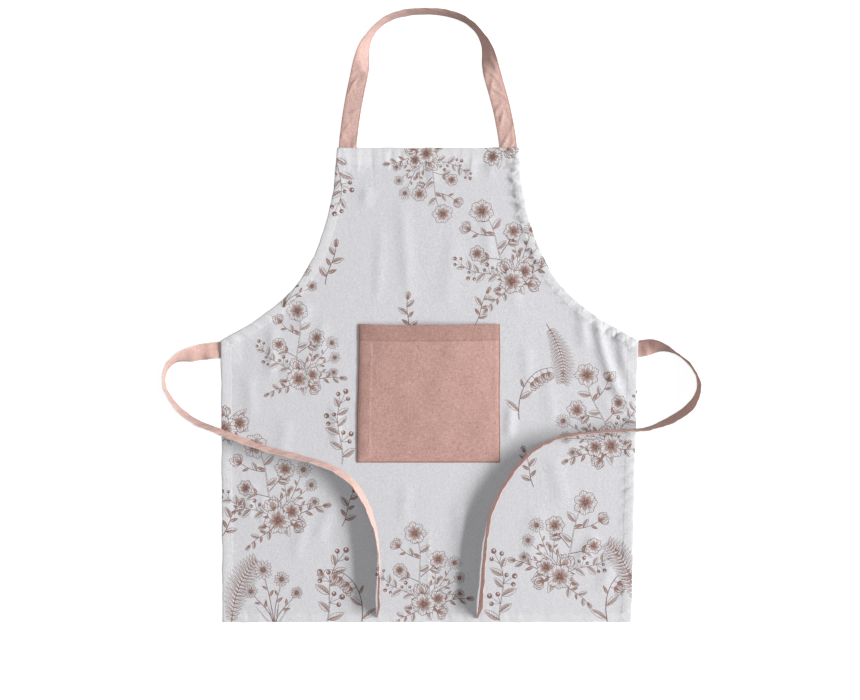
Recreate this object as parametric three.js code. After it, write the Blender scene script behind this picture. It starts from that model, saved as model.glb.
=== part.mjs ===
// A cotton bib apron with a patch pocket, a neck loop and two waist ties, lying flat.
// Millimetres, +Z up, +Y from the bottom hem towards the bib, +X to the right.
import * as THREE from 'three';

// Driving sizes
const CLOTH = 1.0; // wall of the printed panel and of the pocket
const HEM_CLOTH = 2.0; // wall where a hem is turned under
const TAPE = 1.6; // wall of the neck strap and the ties, folded and stitched cloth
const GAP = 0.3; // clearance between two pieces that lie on each other

const PANEL = {
  width: 700, // across the two tie corners
  height: 796, // bottom hem to the top of the bib
  sideHeight: 472, // bottom hem to the tie corners
  bibWidth: 304,
  bibShift: -2.5, // the bib lies a little left of the middle
  leftTaper: 3, // the left side runs in towards the bottom hem
  rightTaper: 11, // and so does the right side
  sideHem: 16,
  armholeHem: 15,
  topHem: 29,
  bottomHem: 14,
  hemStep: 3, // over which a hem thins out to single cloth
};

const POCKET = {
  width: 237,
  height: 232,
  centreX: -2,
  bottom: 269.5, // above the bottom hem of the panel
  mouthInset: 3, // the left side runs in towards the mouth
  topHem: 28,
  hemStep: 3,
  pouch: 5.2, // how far the mouth stands open at its middle
};

const NECK = {
  width: 30,
  length: 600, // free length from bib edge to bib edge
  tuck: 26, // length sewn behind the bib's top hem
  cornerInset: 2, // from the bib's corner to the strap's edge
  legRise: 134, // flat length of each leg above the bib
  legLean: 26, // how far each leg runs inwards over that length
  midLean: 0.38, // share of that lean at half the leg, which bows the legs a little
  crownShift: -4, // the crown lies a little left of the bib's middle
  standing: 78, // tilt of the strap round the crown, in degrees
};

const TIE = {
  width: 28,
  leftLength: 735, // free length from the panel's side to the tip
  rightLength: 763,
  tuck: 16, // length sewn behind the side hem
  cornerDrop: 1, // from the tie corner down to the tie's edge
  tip: 20, // length of the folded, pointed end
  tipWidth: 3, // height that is left at the very point
};

// How finely the surfaces are divided
const GRID = { panelColumns: 26, sideRows: 17, armholeRows: 11, pocketColumns: 14, pocketRows: 10 };
const TAPE_STEP = 10; // between two sections of a strap or tie
const FINE_STEPS = 24; // points on a route for each row of its table
const REACH = 2; // sections on either side that the height of a tie takes into account

// Armhole: how far the edge has run in (share of the inset) at a rise (share of its height)
const ARMHOLE = [
  { rise: 0, inset: 0 },
  { rise: 0.057, inset: 0.16 },
  { rise: 0.119, inset: 0.33 },
  { rise: 0.244, inset: 0.58 },
  { rise: 0.368, inset: 0.735 },
  { rise: 0.554, inset: 0.872 },
  { rise: 0.772, inset: 0.96 },
  { rise: 1, inset: 1 },
];

// Folds of the panel. x is a share of half the width, y, long, wide and high are shares of the
// side height, and turn is the fold's angle from the Y axis in degrees, clockwise.
const FOLDS = [
  { x: 0.832, y: 0.9, turn: -11, long: 0.27, wide: 0.024, high: 0.0085 },
  { x: 0.93, y: 0.88, turn: -12, long: 0.18, wide: 0.018, high: 0.004 },
  { x: 0.70, y: 1.12, turn: -8, long: 0.12, wide: 0.022, high: 0.004 },
  { x: -0.775, y: 0.97, turn: 4, long: 0.2, wide: 0.022, high: 0.006 },
  { x: -0.605, y: 1.09, turn: 10, long: 0.13, wide: 0.022, high: 0.0045 },
  { x: -0.62, y: 0.88, turn: 0, long: 0.2, wide: 0.02, high: 0.004 },
  { x: -0.455, y: 0.69, turn: -4, long: 0.2, wide: 0.02, high: 0.0045 },
  { x: 0.415, y: 0.71, turn: 3, long: 0.14, wide: 0.018, high: 0.0035 },
  { x: -0.13, y: 1.3, turn: -3, long: 0.36, wide: 0.03, high: 0.004 },
  { x: 0.74, y: 0.26, turn: 37, long: 0.14, wide: 0.024, high: 0.004 },
  { x: -0.86, y: 0.46, turn: 6, long: 0.24, wide: 0.024, high: 0.004 },
];

// Left tie: x is a share of half the panel's width, y of the side height, tilt is how far the
// tape has turned from lying flat (0) to standing on its lower edge (90), in degrees.
const LEFT_TIE = [
  { x: -1.08, y: 0.962, tilt: 3 },
  { x: -1.158, y: 0.952, tilt: 30 },
  { x: -1.213, y: 0.94, tilt: 58 },
  { x: -1.25, y: 0.917, tilt: 73 },
  { x: -1.275, y: 0.88, tilt: 82 },
  { x: -1.27, y: 0.838, tilt: 87 },
  { x: -1.24, y: 0.793, tilt: 82 },
  { x: -1.145, y: 0.723, tilt: 70 },
  { x: -0.996, y: 0.676, tilt: 73 },
  { x: -0.813, y: 0.624, tilt: 73 },
  { x: -0.62, y: 0.586, tilt: 75 },
  { x: -0.477, y: 0.553, tilt: 74 },
  { x: -0.366, y: 0.497, tilt: 73 },
  { x: -0.292, y: 0.406, tilt: 75 },
  { x: -0.252, y: 0.305, tilt: 83 },
  { x: -0.241, y: 0.213, tilt: 92 },
  { x: -0.242, y: 0.124, tilt: 98 },
  { x: -0.243, y: 0.02, tilt: 100 },
];

// Right tie, with the same columns
const RIGHT_TIE = [
  { x: 1.064, y: 0.983, tilt: 36 },
  { x: 1.12, y: 0.978, tilt: 58 },
  { x: 1.174, y: 0.965, tilt: 71 },
  { x: 1.225, y: 0.944, tilt: 81 },
  { x: 1.266, y: 0.913, tilt: 82 },
  { x: 1.294, y: 0.866, tilt: 79 },
  { x: 1.284, y: 0.803, tilt: 74 },
  { x: 1.23, y: 0.752, tilt: 65 },
  { x: 1.165, y: 0.723, tilt: 68 },
  { x: 1.063, y: 0.69, tilt: 77 },
  { x: 0.98, y: 0.682, tilt: 79 },
  { x: 0.818, y: 0.677, tilt: 81 },
  { x: 0.626, y: 0.657, tilt: 82 },
  { x: 0.491, y: 0.608, tilt: 84 },
  { x: 0.386, y: 0.521, tilt: 84 },
  { x: 0.3, y: 0.402, tilt: 84 },
  { x: 0.269, y: 0.277, tilt: 82 },
  { x: 0.25, y: 0.104, tilt: 79 },
  { x: 0.236, y: 0.0, tilt: 77 },
];

// Neck strap round its crown: x is a share of half the crown's width, y of its height
const CROWN = [
  { x: -1, y: 0 },
  { x: -0.93, y: 0.42 },
  { x: -0.62, y: 0.85 },
  { x: 0, y: 1 },
  { x: 0.62, y: 0.85 },
  { x: 0.93, y: 0.42 },
  { x: 1, y: 0 },
];
// Where along its length the strap turns up on edge and lies down again
const STANDS_UP = { from: 0.2, to: 0.36 };

const smooth = (from, to, value) => THREE.MathUtils.smoothstep(value, from, to);

// Mesh helpers

// Turns a list of points and a list of triangles into a closed geometry that faces out.
function closedGeometry(points, triangles) {
  let volume = 0;
  for (const [a, b, c] of triangles) {
    volume += points[a].dot(points[b].clone().cross(points[c])) / 6;
  }
  const facingOut = volume > 0 ? triangles : triangles.map(([a, b, c]) => [a, c, b]);
  const geometry = new THREE.BufferGeometry().setFromPoints(points);
  geometry.setIndex(facingOut.flat());
  geometry.computeVertexNormals();
  return geometry;
}

// Closes a cloth given as rows of points on its top and the same rows on its underside.
function clothGeometry(top, under) {
  const rows = top.length;
  const columns = top[0].length;
  const points = [...top.flat(), ...under.flat()];
  const upper = (row, column) => row * columns + column;
  const lower = (row, column) => rows * columns + upper(row, column);
  const triangles = [];
  for (let row = 0; row < rows - 1; row += 1) {
    for (let column = 0; column < columns - 1; column += 1) {
      for (const [corner, flipped] of [[upper, false], [lower, true]]) {
        const a = corner(row, column);
        const b = corner(row, column + 1);
        const c = corner(row + 1, column + 1);
        const d = corner(row + 1, column);
        triangles.push(...(flipped ? [[a, c, b], [a, d, c]] : [[a, b, c], [a, c, d]]));
      }
    }
  }
  const rim = [];
  for (let column = 0; column < columns - 1; column += 1) rim.push([0, column]);
  for (let row = 0; row < rows - 1; row += 1) rim.push([row, columns - 1]);
  for (let column = columns - 1; column > 0; column -= 1) rim.push([rows - 1, column]);
  for (let row = rows - 1; row > 0; row -= 1) rim.push([row, 0]);
  rim.forEach((place, index) => {
    const next = rim[(index + 1) % rim.length];
    const [a, b] = [upper(...place), upper(...next)];
    const [c, d] = [lower(...next), lower(...place)];
    triangles.push([a, d, c], [a, c, b]);
  });
  return closedGeometry(points, triangles);
}

// Joins sections of a tape, each a ring of four corners, and closes both ends.
function tapeGeometry(sections) {
  const points = sections.flat();
  const triangles = [];
  for (let index = 0; index < sections.length - 1; index += 1) {
    for (let corner = 0; corner < 4; corner += 1) {
      const next = (corner + 1) % 4;
      const a = index * 4 + corner;
      const b = index * 4 + next;
      triangles.push([a, b, b + 4], [a, b + 4, a + 4]);
    }
  }
  const last = (sections.length - 1) * 4;
  triangles.push([0, 2, 1], [0, 3, 2], [last, last + 1, last + 2], [last, last + 2, last + 3]);
  return closedGeometry(points, triangles);
}

function makePiece(name, geometry, colour, roughness) {
  const material = new THREE.MeshStandardMaterial({ color: colour, roughness, metalness: 0 });
  const piece = new THREE.Mesh(geometry, material);
  piece.name = name;
  return piece;
}

// Panel

// Inset share of the armhole at a rise share, as a smooth curve through the table.
function armholeInset(rise) {
  const last = ARMHOLE.length - 2;
  const found = ARMHOLE.findIndex((row, index) => index > 0 && rise <= row.rise) - 1;
  const at = found < 0 ? last : found;
  const slope = (index) => {
    const before = ARMHOLE[Math.max(index - 1, 0)];
    const after = ARMHOLE[Math.min(index + 1, last + 1)];
    return (after.inset - before.inset) / (after.rise - before.rise);
  };
  const [start, end] = [ARMHOLE[at], ARMHOLE[at + 1]];
  const span = end.rise - start.rise;
  const t = (rise - start.rise) / span;
  const bend = (3 - 2 * t) * t * t;
  return start.inset + (end.inset - start.inset) * bend
    + span * t * (1 - t) * (slope(at) * (1 - t) - slope(at + 1) * t);
}

// The panel's edge at a height, on the left (-1) or right (1) side.
function panelEdge(side, y) {
  const corner = side * PANEL.width / 2;
  if (y <= PANEL.sideHeight) {
    const taper = side < 0 ? PANEL.leftTaper : PANEL.rightTaper;
    return corner - side * taper * (1 - y / PANEL.sideHeight);
  }
  const rise = (y - PANEL.sideHeight) / (PANEL.height - PANEL.sideHeight);
  const bibEdge = PANEL.bibShift + side * PANEL.bibWidth / 2;
  return corner + (bibEdge - corner) * armholeInset(rise);
}

// How far in from the edge the hem reaches, measured along X.
function hemReach(side, y) {
  const above = y > PANEL.sideHeight;
  const hem = above ? PANEL.armholeHem : PANEL.sideHem;
  const step = above ? 1 : -1;
  const slope = panelEdge(side, y + step) - panelEdge(side, y);
  return hem * Math.hypot(1, y + step > PANEL.height ? 0 : slope);
}

// A ridge with soft flanks and ends, as a height at a place.
function foldHeight(fold, x, y) {
  const turn = THREE.MathUtils.degToRad(fold.turn);
  const dx = x - fold.x * PANEL.width / 2;
  const dy = y - fold.y * PANEL.sideHeight;
  const across = (dx * Math.cos(turn) - dy * Math.sin(turn)) / (fold.wide * PANEL.sideHeight);
  const along = (dx * Math.sin(turn) + dy * Math.cos(turn)) / (fold.long * PANEL.sideHeight / 2);
  const ends = 1 - smooth(0.45, 1, Math.abs(along));
  return fold.high * PANEL.sideHeight * Math.exp(-across * across / 2) * ends;
}

// Where a strap or tie end lies under the panel: centre and half sizes.
const strapX = (side) => PANEL.bibShift + side * (PANEL.bibWidth / 2 - NECK.cornerInset - NECK.width / 2);
const tieY = PANEL.sideHeight - TIE.cornerDrop - TIE.width / 2;
const TUCKED_ENDS = [-1, 1].flatMap((side) => [
  {
    x: strapX(side),
    y: PANEL.height - NECK.tuck / 2,
    halfX: NECK.width / 2,
    halfY: NECK.tuck / 2,
  },
  {
    x: side * (PANEL.width - TIE.tuck) / 2,
    y: tieY,
    halfX: TIE.tuck / 2,
    halfY: TIE.width / 2,
  },
]);

// The panel rises over a tucked end, and comes down again outside it.
function liftOverEnds(x, y) {
  const clear = PANEL.width / GRID.panelColumns + PANEL.hemStep;
  const lifts = TUCKED_ENDS.map((end) => {
    const dx = Math.max(Math.abs(x - end.x) - end.halfX, 0);
    const dy = Math.max(Math.abs(y - end.y) - end.halfY, 0);
    return 1 - smooth(clear, 1.8 * clear, Math.hypot(dx, dy));
  });
  return (TAPE + GAP) * Math.max(...lifts);
}

function undersideHeight(x, y) {
  const folds = FOLDS.reduce((sum, fold) => sum + foldHeight(fold, x, y), 0);
  return folds + liftOverEnds(x, y);
}

const spread = (from, to, count, power = 1) => Array.from(
  { length: count },
  (_, index) => from + (to - from) * ((index + 1) / count) ** power,
);

function panelRows() {
  const firstInside = PANEL.bottomHem + PANEL.hemStep;
  const lastInside = PANEL.height - PANEL.topHem - PANEL.hemStep;
  return [
    0,
    PANEL.bottomHem,
    firstInside,
    ...spread(firstInside, PANEL.sideHeight, GRID.sideRows),
    ...spread(PANEL.sideHeight, lastInside, GRID.armholeRows, 1.4),
    PANEL.height - PANEL.topHem,
    PANEL.height,
  ];
}

function panelColumns(y) {
  const [left, right] = [panelEdge(-1, y), panelEdge(1, y)];
  const [leftHem, rightHem] = [left + hemReach(-1, y), right - hemReach(1, y)];
  const [leftInside, rightInside] = [leftHem + PANEL.hemStep, rightHem - PANEL.hemStep];
  const inner = spread(leftInside, rightInside, GRID.panelColumns);
  return [left, leftHem, leftInside, ...inner, rightHem, right];
}

function buildPanel() {
  const rows = panelRows();
  const top = [];
  const under = [];
  rows.forEach((y, row) => {
    const columns = panelColumns(y);
    const inHem = (column) => row < 2 || row > rows.length - 3
      || column < 2 || column > columns.length - 3;
    under.push(columns.map((x) => new THREE.Vector3(x, y, undersideHeight(x, y))));
    top.push(under[row].map((point, column) => {
      const wall = inHem(column) ? HEM_CLOTH : CLOTH;
      return point.clone().setZ(point.z + wall);
    }));
  });
  return makePiece('panel', clothGeometry(top, under), '#d6d6da', 0.9);
}

// Height of the cloth below a place, or of the floor beside it.
const eye = new THREE.Raycaster();
const down = new THREE.Vector3(0, 0, -1);
function heightBelow(piece, x, y) {
  eye.set(new THREE.Vector3(x, y, PANEL.height), down);
  const hit = eye.intersectObject(piece)[0];
  return hit ? hit.point.z : 0;
}

// Pocket

function buildPocket(panel) {
  const firstHem = POCKET.height - POCKET.topHem;
  const rows = [
    0,
    ...spread(0, firstHem - POCKET.hemStep, GRID.pocketRows),
    firstHem,
    POCKET.height,
  ];
  const top = [];
  const under = [];
  rows.forEach((rise, row) => {
    const share = rise / POCKET.height;
    const left = POCKET.centreX - POCKET.width / 2 + POCKET.mouthInset * share;
    const right = POCKET.centreX + POCKET.width / 2;
    const columns = [left, ...spread(left, right, GRID.pocketColumns)];
    const wall = row > rows.length - 3 ? HEM_CLOTH : CLOTH;
    const y = POCKET.bottom + rise;
    under.push(columns.map((x, column) => {
      const across = Math.sin(Math.PI * column / GRID.pocketColumns);
      const open = POCKET.pouch * across * Math.sin(Math.PI / 2 * share);
      const margin = POCKET.width / GRID.pocketColumns;
      const lying = Math.max(...[-margin, 0, margin].map((dx) => heightBelow(panel, x + dx, y)));
      return new THREE.Vector3(x, y, lying + GAP + open);
    }));
    top.push(under[row].map((point) => point.clone().setZ(point.z + wall)));
  });
  return makePiece('pocket', clothGeometry(top, under), '#bd968c', 0.85);
}

// Straps and ties

// Places at even steps along a curve through the rows, each with its tilt and direction.
function layRoute(rows, length) {
  const curve = new THREE.CatmullRomCurve3(
    rows.map(({ x, y, tilt }) => new THREE.Vector3(x, y, tilt)),
  );
  const fine = curve.getPoints(rows.length * FINE_STEPS);
  const travelled = [0];
  for (let index = 1; index < fine.length; index += 1) {
    const { x, y } = fine[index - 1];
    travelled.push(travelled[index - 1] + Math.hypot(fine[index].x - x, fine[index].y - y));
  }
  const total = length ?? travelled.at(-1);
  const count = Math.round(total / TAPE_STEP);
  return Array.from({ length: count + 1 }, (_, step) => {
    const distance = total * step / count;
    const passed = travelled.findIndex((value) => value >= distance);
    const at = passed < 0 ? fine.length - 1 : Math.max(passed, 1);
    const [before, after] = [fine[at - 1], fine[at]];
    const share = (distance - travelled[at - 1]) / (travelled[at] - travelled[at - 1]);
    const place = before.clone().lerp(after, share);
    const heading = after.clone().sub(before).setZ(0).normalize();
    return { place, heading, distance, tilt: passed < 0 ? after.z : place.z };
  });
}

// One section of a tape: outer is the side whose edge is raised, -1 right or 1 left of the way.
function tapeSection(stop, outer, width, base, height = width) {
  const tilt = THREE.MathUtils.degToRad(stop.tilt);
  const sideways = new THREE.Vector3(-stop.heading.y, stop.heading.x, 0).multiplyScalar(outer);
  const across = sideways.clone().multiplyScalar(Math.cos(tilt)).setZ(Math.sin(tilt));
  const through = sideways.clone().multiplyScalar(-Math.sin(tilt)).setZ(Math.cos(tilt));
  const lowest = TAPE / 2 * Math.abs(Math.cos(tilt));
  const foot = stop.place.clone().addScaledVector(across, -width / 2).setZ(base + lowest);
  const corner = (reach, side) => foot.clone()
    .addScaledVector(across, reach)
    .addScaledVector(through, side * TAPE / 2);
  return [corner(0, -1), corner(height, -1), corner(height, 1), corner(0, 1)];
}

// A height never falls below what the stops within reach of it need, and changes evenly.
function evenOut(needs) {
  const near = (values, index) => values.slice(Math.max(index - REACH, 0), index + REACH + 1);
  const highest = needs.map((_, index) => Math.max(...near(needs, index)));
  return highest.map((_, index) => {
    const values = near(highest, index);
    return values.reduce((sum, value) => sum + value, 0) / values.length;
  });
}

function buildTie(name, panel, side, length, table) {
  const startX = side * (PANEL.width / 2 - TIE.tuck);
  const edgeX = side * PANEL.width / 2;
  const rows = [
    { x: startX, y: tieY, tilt: 0 },
    { x: edgeX, y: tieY, tilt: 0 },
    ...table.map(({ x, y, tilt }) => (
      { x: x * PANEL.width / 2, y: y * PANEL.sideHeight, tilt }
    )),
  ];
  const end = TIE.tuck + length;
  const stops = layRoute(rows, end).map((stop) => {
    const free = smooth(TIE.tuck, 3 * TIE.tuck, stop.distance);
    return { ...stop, tilt: stop.tilt * free };
  });
  const feet = stops.map((stop) => tapeSection(stop, side, TIE.width, 0));
  const needs = stops.map((stop, index) => {
    if (stop.distance <= 2 * TIE.tuck) return 0;
    const [nearCorner, , , farCorner] = feet[index];
    const below = [nearCorner, farCorner, stop.place].map(({ x, y }) => heightBelow(panel, x, y));
    const highest = Math.max(...below);
    return highest > 0 ? highest + GAP : 0;
  });
  const bases = evenOut(needs);
  const sections = stops.map((stop, index) => {
    const left = Math.min((end - stop.distance) / TIE.tip, 1);
    const height = TIE.tipWidth + (TIE.width - TIE.tipWidth) * left;
    return tapeSection(stop, side, TIE.width, bases[index], height);
  });
  return makePiece(name, tapeGeometry(sections), '#dbb3aa', 0.85);
}

// The loop's centre line for a crown of a given height above its legs.
function neckRows(crownHeight) {
  const crownX = PANEL.bibShift + NECK.crownShift;
  const halfCrown = strapX(1) - PANEL.bibShift - NECK.legLean;
  const crown = CROWN.map(({ x, y }) => ({
    x: crownX + x * halfCrown,
    y: PANEL.height + NECK.legRise + y * crownHeight,
  }));
  const legs = (side) => {
    const lean = crownX + side * halfCrown - strapX(side);
    return [
      { x: strapX(side), y: PANEL.height - NECK.tuck },
      { x: strapX(side), y: PANEL.height },
      { x: strapX(side) + NECK.midLean * lean, y: PANEL.height + NECK.legRise / 2 },
    ];
  };
  return [...legs(-1), ...crown, ...legs(1).reverse()];
}

function buildNeckStrap() {
  const wanted = NECK.length + 2 * NECK.tuck;
  const lengthOf = (height) => new THREE.CatmullRomCurve3(
    neckRows(height).map(({ x, y }) => new THREE.Vector3(x, y, 0)),
  ).getLength();
  let [low, high] = [0, NECK.length];
  for (let pass = 0; pass < 30; pass += 1) {
    const middle = (low + high) / 2;
    if (lengthOf(middle) < wanted) low = middle;
    else high = middle;
  }
  const stops = layRoute(neckRows(low).map((row) => ({ ...row, tilt: 0 })));
  const sections = stops.map((stop) => {
    const share = stop.distance / wanted;
    const fromEnd = Math.min(share, 1 - share);
    const tilt = NECK.standing * smooth(STANDS_UP.from, STANDS_UP.to, fromEnd);
    return tapeSection({ ...stop, tilt }, 1, NECK.width, 0);
  });
  return makePiece('neck_strap', tapeGeometry(sections), '#dbb3aa', 0.85);
}

// The whole apron, with its origin at the middle of its resting face

const apron = new THREE.Group();
const panel = buildPanel();
apron.add(
  panel,
  buildPocket(panel),
  buildNeckStrap(),
  buildTie('tie_left', panel, -1, TIE.leftLength, LEFT_TIE),
  buildTie('tie_right', panel, 1, TIE.rightLength, RIGHT_TIE),
);
const extent = new THREE.Box3().setFromObject(apron);
const middle = extent.getCenter(new THREE.Vector3()).setZ(extent.min.z);
for (const piece of apron.children) piece.position.sub(middle);

export default apron;
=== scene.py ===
"""A cotton bib apron with a floral line print, lying flat: panel, patch pocket, neck strap and two ties.

Design sizes are in millimetres, in the frame's axes: +X right, +Y from the bottom hem to the bib, +Z up.
"""
import logging
import math
from dataclasses import dataclass
from enum import Enum

import bpy
import numpy as np
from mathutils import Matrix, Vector
from mathutils.geometry import delaunay_2d_cdt


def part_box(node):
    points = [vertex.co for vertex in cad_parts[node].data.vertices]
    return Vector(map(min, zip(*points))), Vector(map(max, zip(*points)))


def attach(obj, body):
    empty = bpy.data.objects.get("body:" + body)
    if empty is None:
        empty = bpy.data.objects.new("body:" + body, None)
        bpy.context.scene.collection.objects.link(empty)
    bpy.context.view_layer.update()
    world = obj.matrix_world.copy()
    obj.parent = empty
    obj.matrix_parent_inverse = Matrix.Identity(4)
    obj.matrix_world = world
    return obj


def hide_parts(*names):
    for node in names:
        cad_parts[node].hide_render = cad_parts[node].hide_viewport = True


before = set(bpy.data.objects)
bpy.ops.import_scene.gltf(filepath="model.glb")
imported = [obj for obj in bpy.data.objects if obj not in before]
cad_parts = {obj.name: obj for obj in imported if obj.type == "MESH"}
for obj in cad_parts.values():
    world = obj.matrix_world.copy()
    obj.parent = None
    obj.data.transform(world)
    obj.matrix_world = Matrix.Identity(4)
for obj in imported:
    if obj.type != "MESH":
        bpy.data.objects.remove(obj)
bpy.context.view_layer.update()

BODY = "root"
MM = 0.001
CLOTH = 1.0
HEM_CLOTH = 2.0
TAPE = 1.6
GAP = 0.3

log = logging.getLogger("apron")


class Slot(Enum):
    """Material slots of the record; each piece is handed one, which the build does not use."""

    PRINTED_COTTON = "printed_cotton"
    ROSE_CHAMBRAY = "rose_chambray"
    BLUSH_TAPE = "blush_tape"


class Ink(Enum):
    """What a patch of the panel is printed with; HEM is bare double cloth.

    The value is its place in the panel's material list.
    """

    BARE = 0
    TINT = 1
    MID = 2
    LINE = 3
    HEM = 4


class Side(Enum):
    """Left or right side of the apron, as a sign along X."""

    LEFT = -1
    RIGHT = 1


def smooth(low: float, high: float, value: np.ndarray) -> np.ndarray:
    """Rises from 0 at low to 1 at high along an S curve.

    Args:
        low: Where the rise starts.
        high: Where it ends.
        value: The values to place on it.

    Returns:
        The share risen at each value.
    """
    share = np.clip((np.asarray(value, float) - low) / (high - low), 0.0, 1.0)
    return share * share * (3.0 - 2.0 * share)


def ripple(along: np.ndarray, waves: tuple[tuple[float, float, float], ...]) -> np.ndarray:
    """Sum of sine waves.

    Args:
        along: Distance in millimetres.
        waves: Rows of height, wavelength and phase.

    Returns:
        The summed height at each distance.
    """
    return sum(high * np.sin(2.0 * math.pi * along / long + phase) for high, long, phase in waves)


def hill(offset: np.ndarray, wide: float) -> np.ndarray:
    """Height of a rounded hill at each offset from its middle, where it is 1."""
    return np.exp(-((offset / wide) ** 2))


def unit(rows: np.ndarray) -> np.ndarray:
    """Each row as a direction of length 1."""
    return rows / np.linalg.norm(rows, axis=1)[:, None]


def left_of(ahead: np.ndarray) -> np.ndarray:
    """Directions in the floor plane to the left of the given ones."""
    return np.stack([-ahead[:, 1], ahead[:, 0]], axis=1)


def lengths_along(path: np.ndarray) -> np.ndarray:
    """Length of a path from its start to each of its points."""
    steps = np.linalg.norm(np.diff(path, axis=0), axis=1)
    return np.concatenate([[0.0], np.cumsum(steps)])


def follow(after: dict[int, int]) -> list[int]:
    """The ring of numbers in which each is followed by the one in the table."""
    ring = [min(after)]
    while after[ring[-1]] != ring[0]:
        ring.append(after[ring[-1]])
    return ring


# Finishes


class Nodes:
    """Small helper that adds and links the nodes of one material."""

    def __init__(self, name: str) -> None:
        """Starts an empty node material with that name."""
        self.material = bpy.data.materials.new(name)
        self.material.use_nodes = True
        self.tree = self.material.node_tree
        self.shader = self.tree.nodes["Principled BSDF"]
        self.place = self.tree.nodes.new("ShaderNodeTexCoord").outputs["Object"]

    def add(self, kind: str, **settings: object) -> bpy.types.Node:
        """Adds a node and sets its attributes."""
        node = self.tree.nodes.new(kind)
        for key, value in settings.items():
            setattr(node, key, value)
        return node

    def link(self, source: bpy.types.NodeSocket, target: bpy.types.NodeSocket) -> None:
        """Links two sockets."""
        self.tree.links.new(source, target)

    @staticmethod
    def settle(node: bpy.types.Node, inputs: dict[str, object]) -> None:
        """Sets the values of a node's inputs."""
        for name, value in inputs.items():
            node.inputs[name].default_value = value

    def bump(self, height: bpy.types.NodeSocket, distance: float) -> bpy.types.Node:
        """A Bump node on a height, with its relief in millimetres."""
        node = self.add("ShaderNodeBump")
        self.settle(node, {"Distance": distance * MM})
        self.link(height, node.inputs["Height"])
        return node

    def stretched_noise(self, scale: tuple[float, float, float], detail: float) -> bpy.types.NodeSocket:
        """Noise with its own scale along each axis.

        Args:
            scale: Cells per metre along X, Y and Z.
            detail: Octaves of the noise.

        Returns:
            The noise's value socket.
        """
        mapping = self.add("ShaderNodeMapping")
        self.settle(mapping, {"Scale": scale})
        self.link(self.place, mapping.inputs["Vector"])
        noise = self.add("ShaderNodeTexNoise")
        self.settle(noise, {"Scale": 1.0, "Detail": detail})
        self.link(mapping.outputs["Vector"], noise.inputs["Vector"])
        return noise.outputs["Fac"]

    def maths(self, operation: str, first: object, second: object) -> bpy.types.NodeSocket:
        """A Math node on two sockets or numbers.

        Args:
            operation: Name of the operation.
            first: A socket or a number.
            second: A socket or a number.

        Returns:
            The result's socket.
        """
        node = self.add("ShaderNodeMath", operation=operation)
        for socket, value in zip(node.inputs, (first, second)):
            if isinstance(value, bpy.types.NodeSocket):
                self.link(value, socket)
            else:
                socket.default_value = value
        return node.outputs["Value"]


@dataclass(frozen=True)
class WovenFinish:
    """Plain woven cotton.

    Attributes:
        name: Name of the material.
        colour: Linear colour of the light threads.
        shade: Linear colour of the dark threads and slubs.
        thread: Width of a thread in millimetres.
        slub: Length of a slub in millimetres.
        contrast: How strongly the threads differ in colour, 0 to 1.
        depth: Relief of the weave in millimetres.
        crumple: Relief of the cloth's soft unevenness in millimetres.
        roughness: Roughness of the surface.
        sheen: Weight of the soft sheen of loose fibres.
        glow: Weight of the light that passes through the cloth.
    """

    name: str
    colour: tuple[float, float, float]
    shade: tuple[float, float, float]
    thread: float = 1.2
    slub: float = 4.5
    contrast: float = 1.6
    depth: float = 0.1
    crumple: float = 0.2
    roughness: float = 0.92
    sheen: float = 0.12
    glow: float = 0.0
    thread_detail = 2.0
    broad_detail = 3.0
    streak_scale = (210.0, 110.0, 210.0)
    crease_scale = (75.0, 50.0, 75.0)
    thread_share = 0.45
    broad_share = 0.07
    mottle_middle = 0.52
    mottle_reach = 0.28
    least_contrast = 0.05
    glow_radius = (1.0, 0.45, 0.35)
    glow_depth = 2.0

    def build(self) -> bpy.types.Material:
        """Makes the material, with thread colours, slubs and a bumped weave."""
        nodes = Nodes(self.name)
        across, along = 1.0 / (self.thread * MM), 1.0 / (self.slub * MM)
        warp = nodes.stretched_noise((across, along, across), self.thread_detail)
        weft = nodes.stretched_noise((along, across, across), self.thread_detail)
        streaks = nodes.stretched_noise(self.streak_scale, self.broad_detail)
        creases = nodes.stretched_noise(self.crease_scale, self.broad_detail)
        threads = nodes.maths("ADD", warp, weft)
        broad = nodes.maths("ADD", streaks, creases)
        fine = nodes.maths("MULTIPLY", threads, self.thread_share)
        mottled = nodes.maths("ADD", fine, nodes.maths("MULTIPLY", broad, self.broad_share))
        ramp = nodes.add("ShaderNodeMapRange")
        reach = self.mottle_reach / max(self.contrast, self.least_contrast)
        nodes.settle(ramp, {"From Min": self.mottle_middle - reach, "From Max": self.mottle_middle + reach})
        nodes.link(mottled, ramp.inputs["Value"])
        mix = nodes.add("ShaderNodeMix", data_type="RGBA")
        nodes.settle(mix, {"A": (*self.shade, 1.0), "B": (*self.colour, 1.0)})
        nodes.link(ramp.outputs["Result"], mix.inputs["Factor"])
        nodes.link(mix.outputs["Result"], nodes.shader.inputs["Base Color"])
        soft = nodes.bump(broad, self.crumple)
        weave = nodes.bump(threads, self.depth)
        nodes.link(soft.outputs["Normal"], weave.inputs["Normal"])
        nodes.link(weave.outputs["Normal"], nodes.shader.inputs["Normal"])
        nodes.settle(nodes.shader, {
            "Roughness": self.roughness,
            "Sheen Weight": self.sheen,
            "Sheen Roughness": 0.5,
            "Specular IOR Level": 0.2,
            "Subsurface Weight": self.glow,
            "Subsurface Radius": self.glow_radius,
            "Subsurface Scale": self.glow_depth * MM,
        })
        return nodes.material


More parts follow.
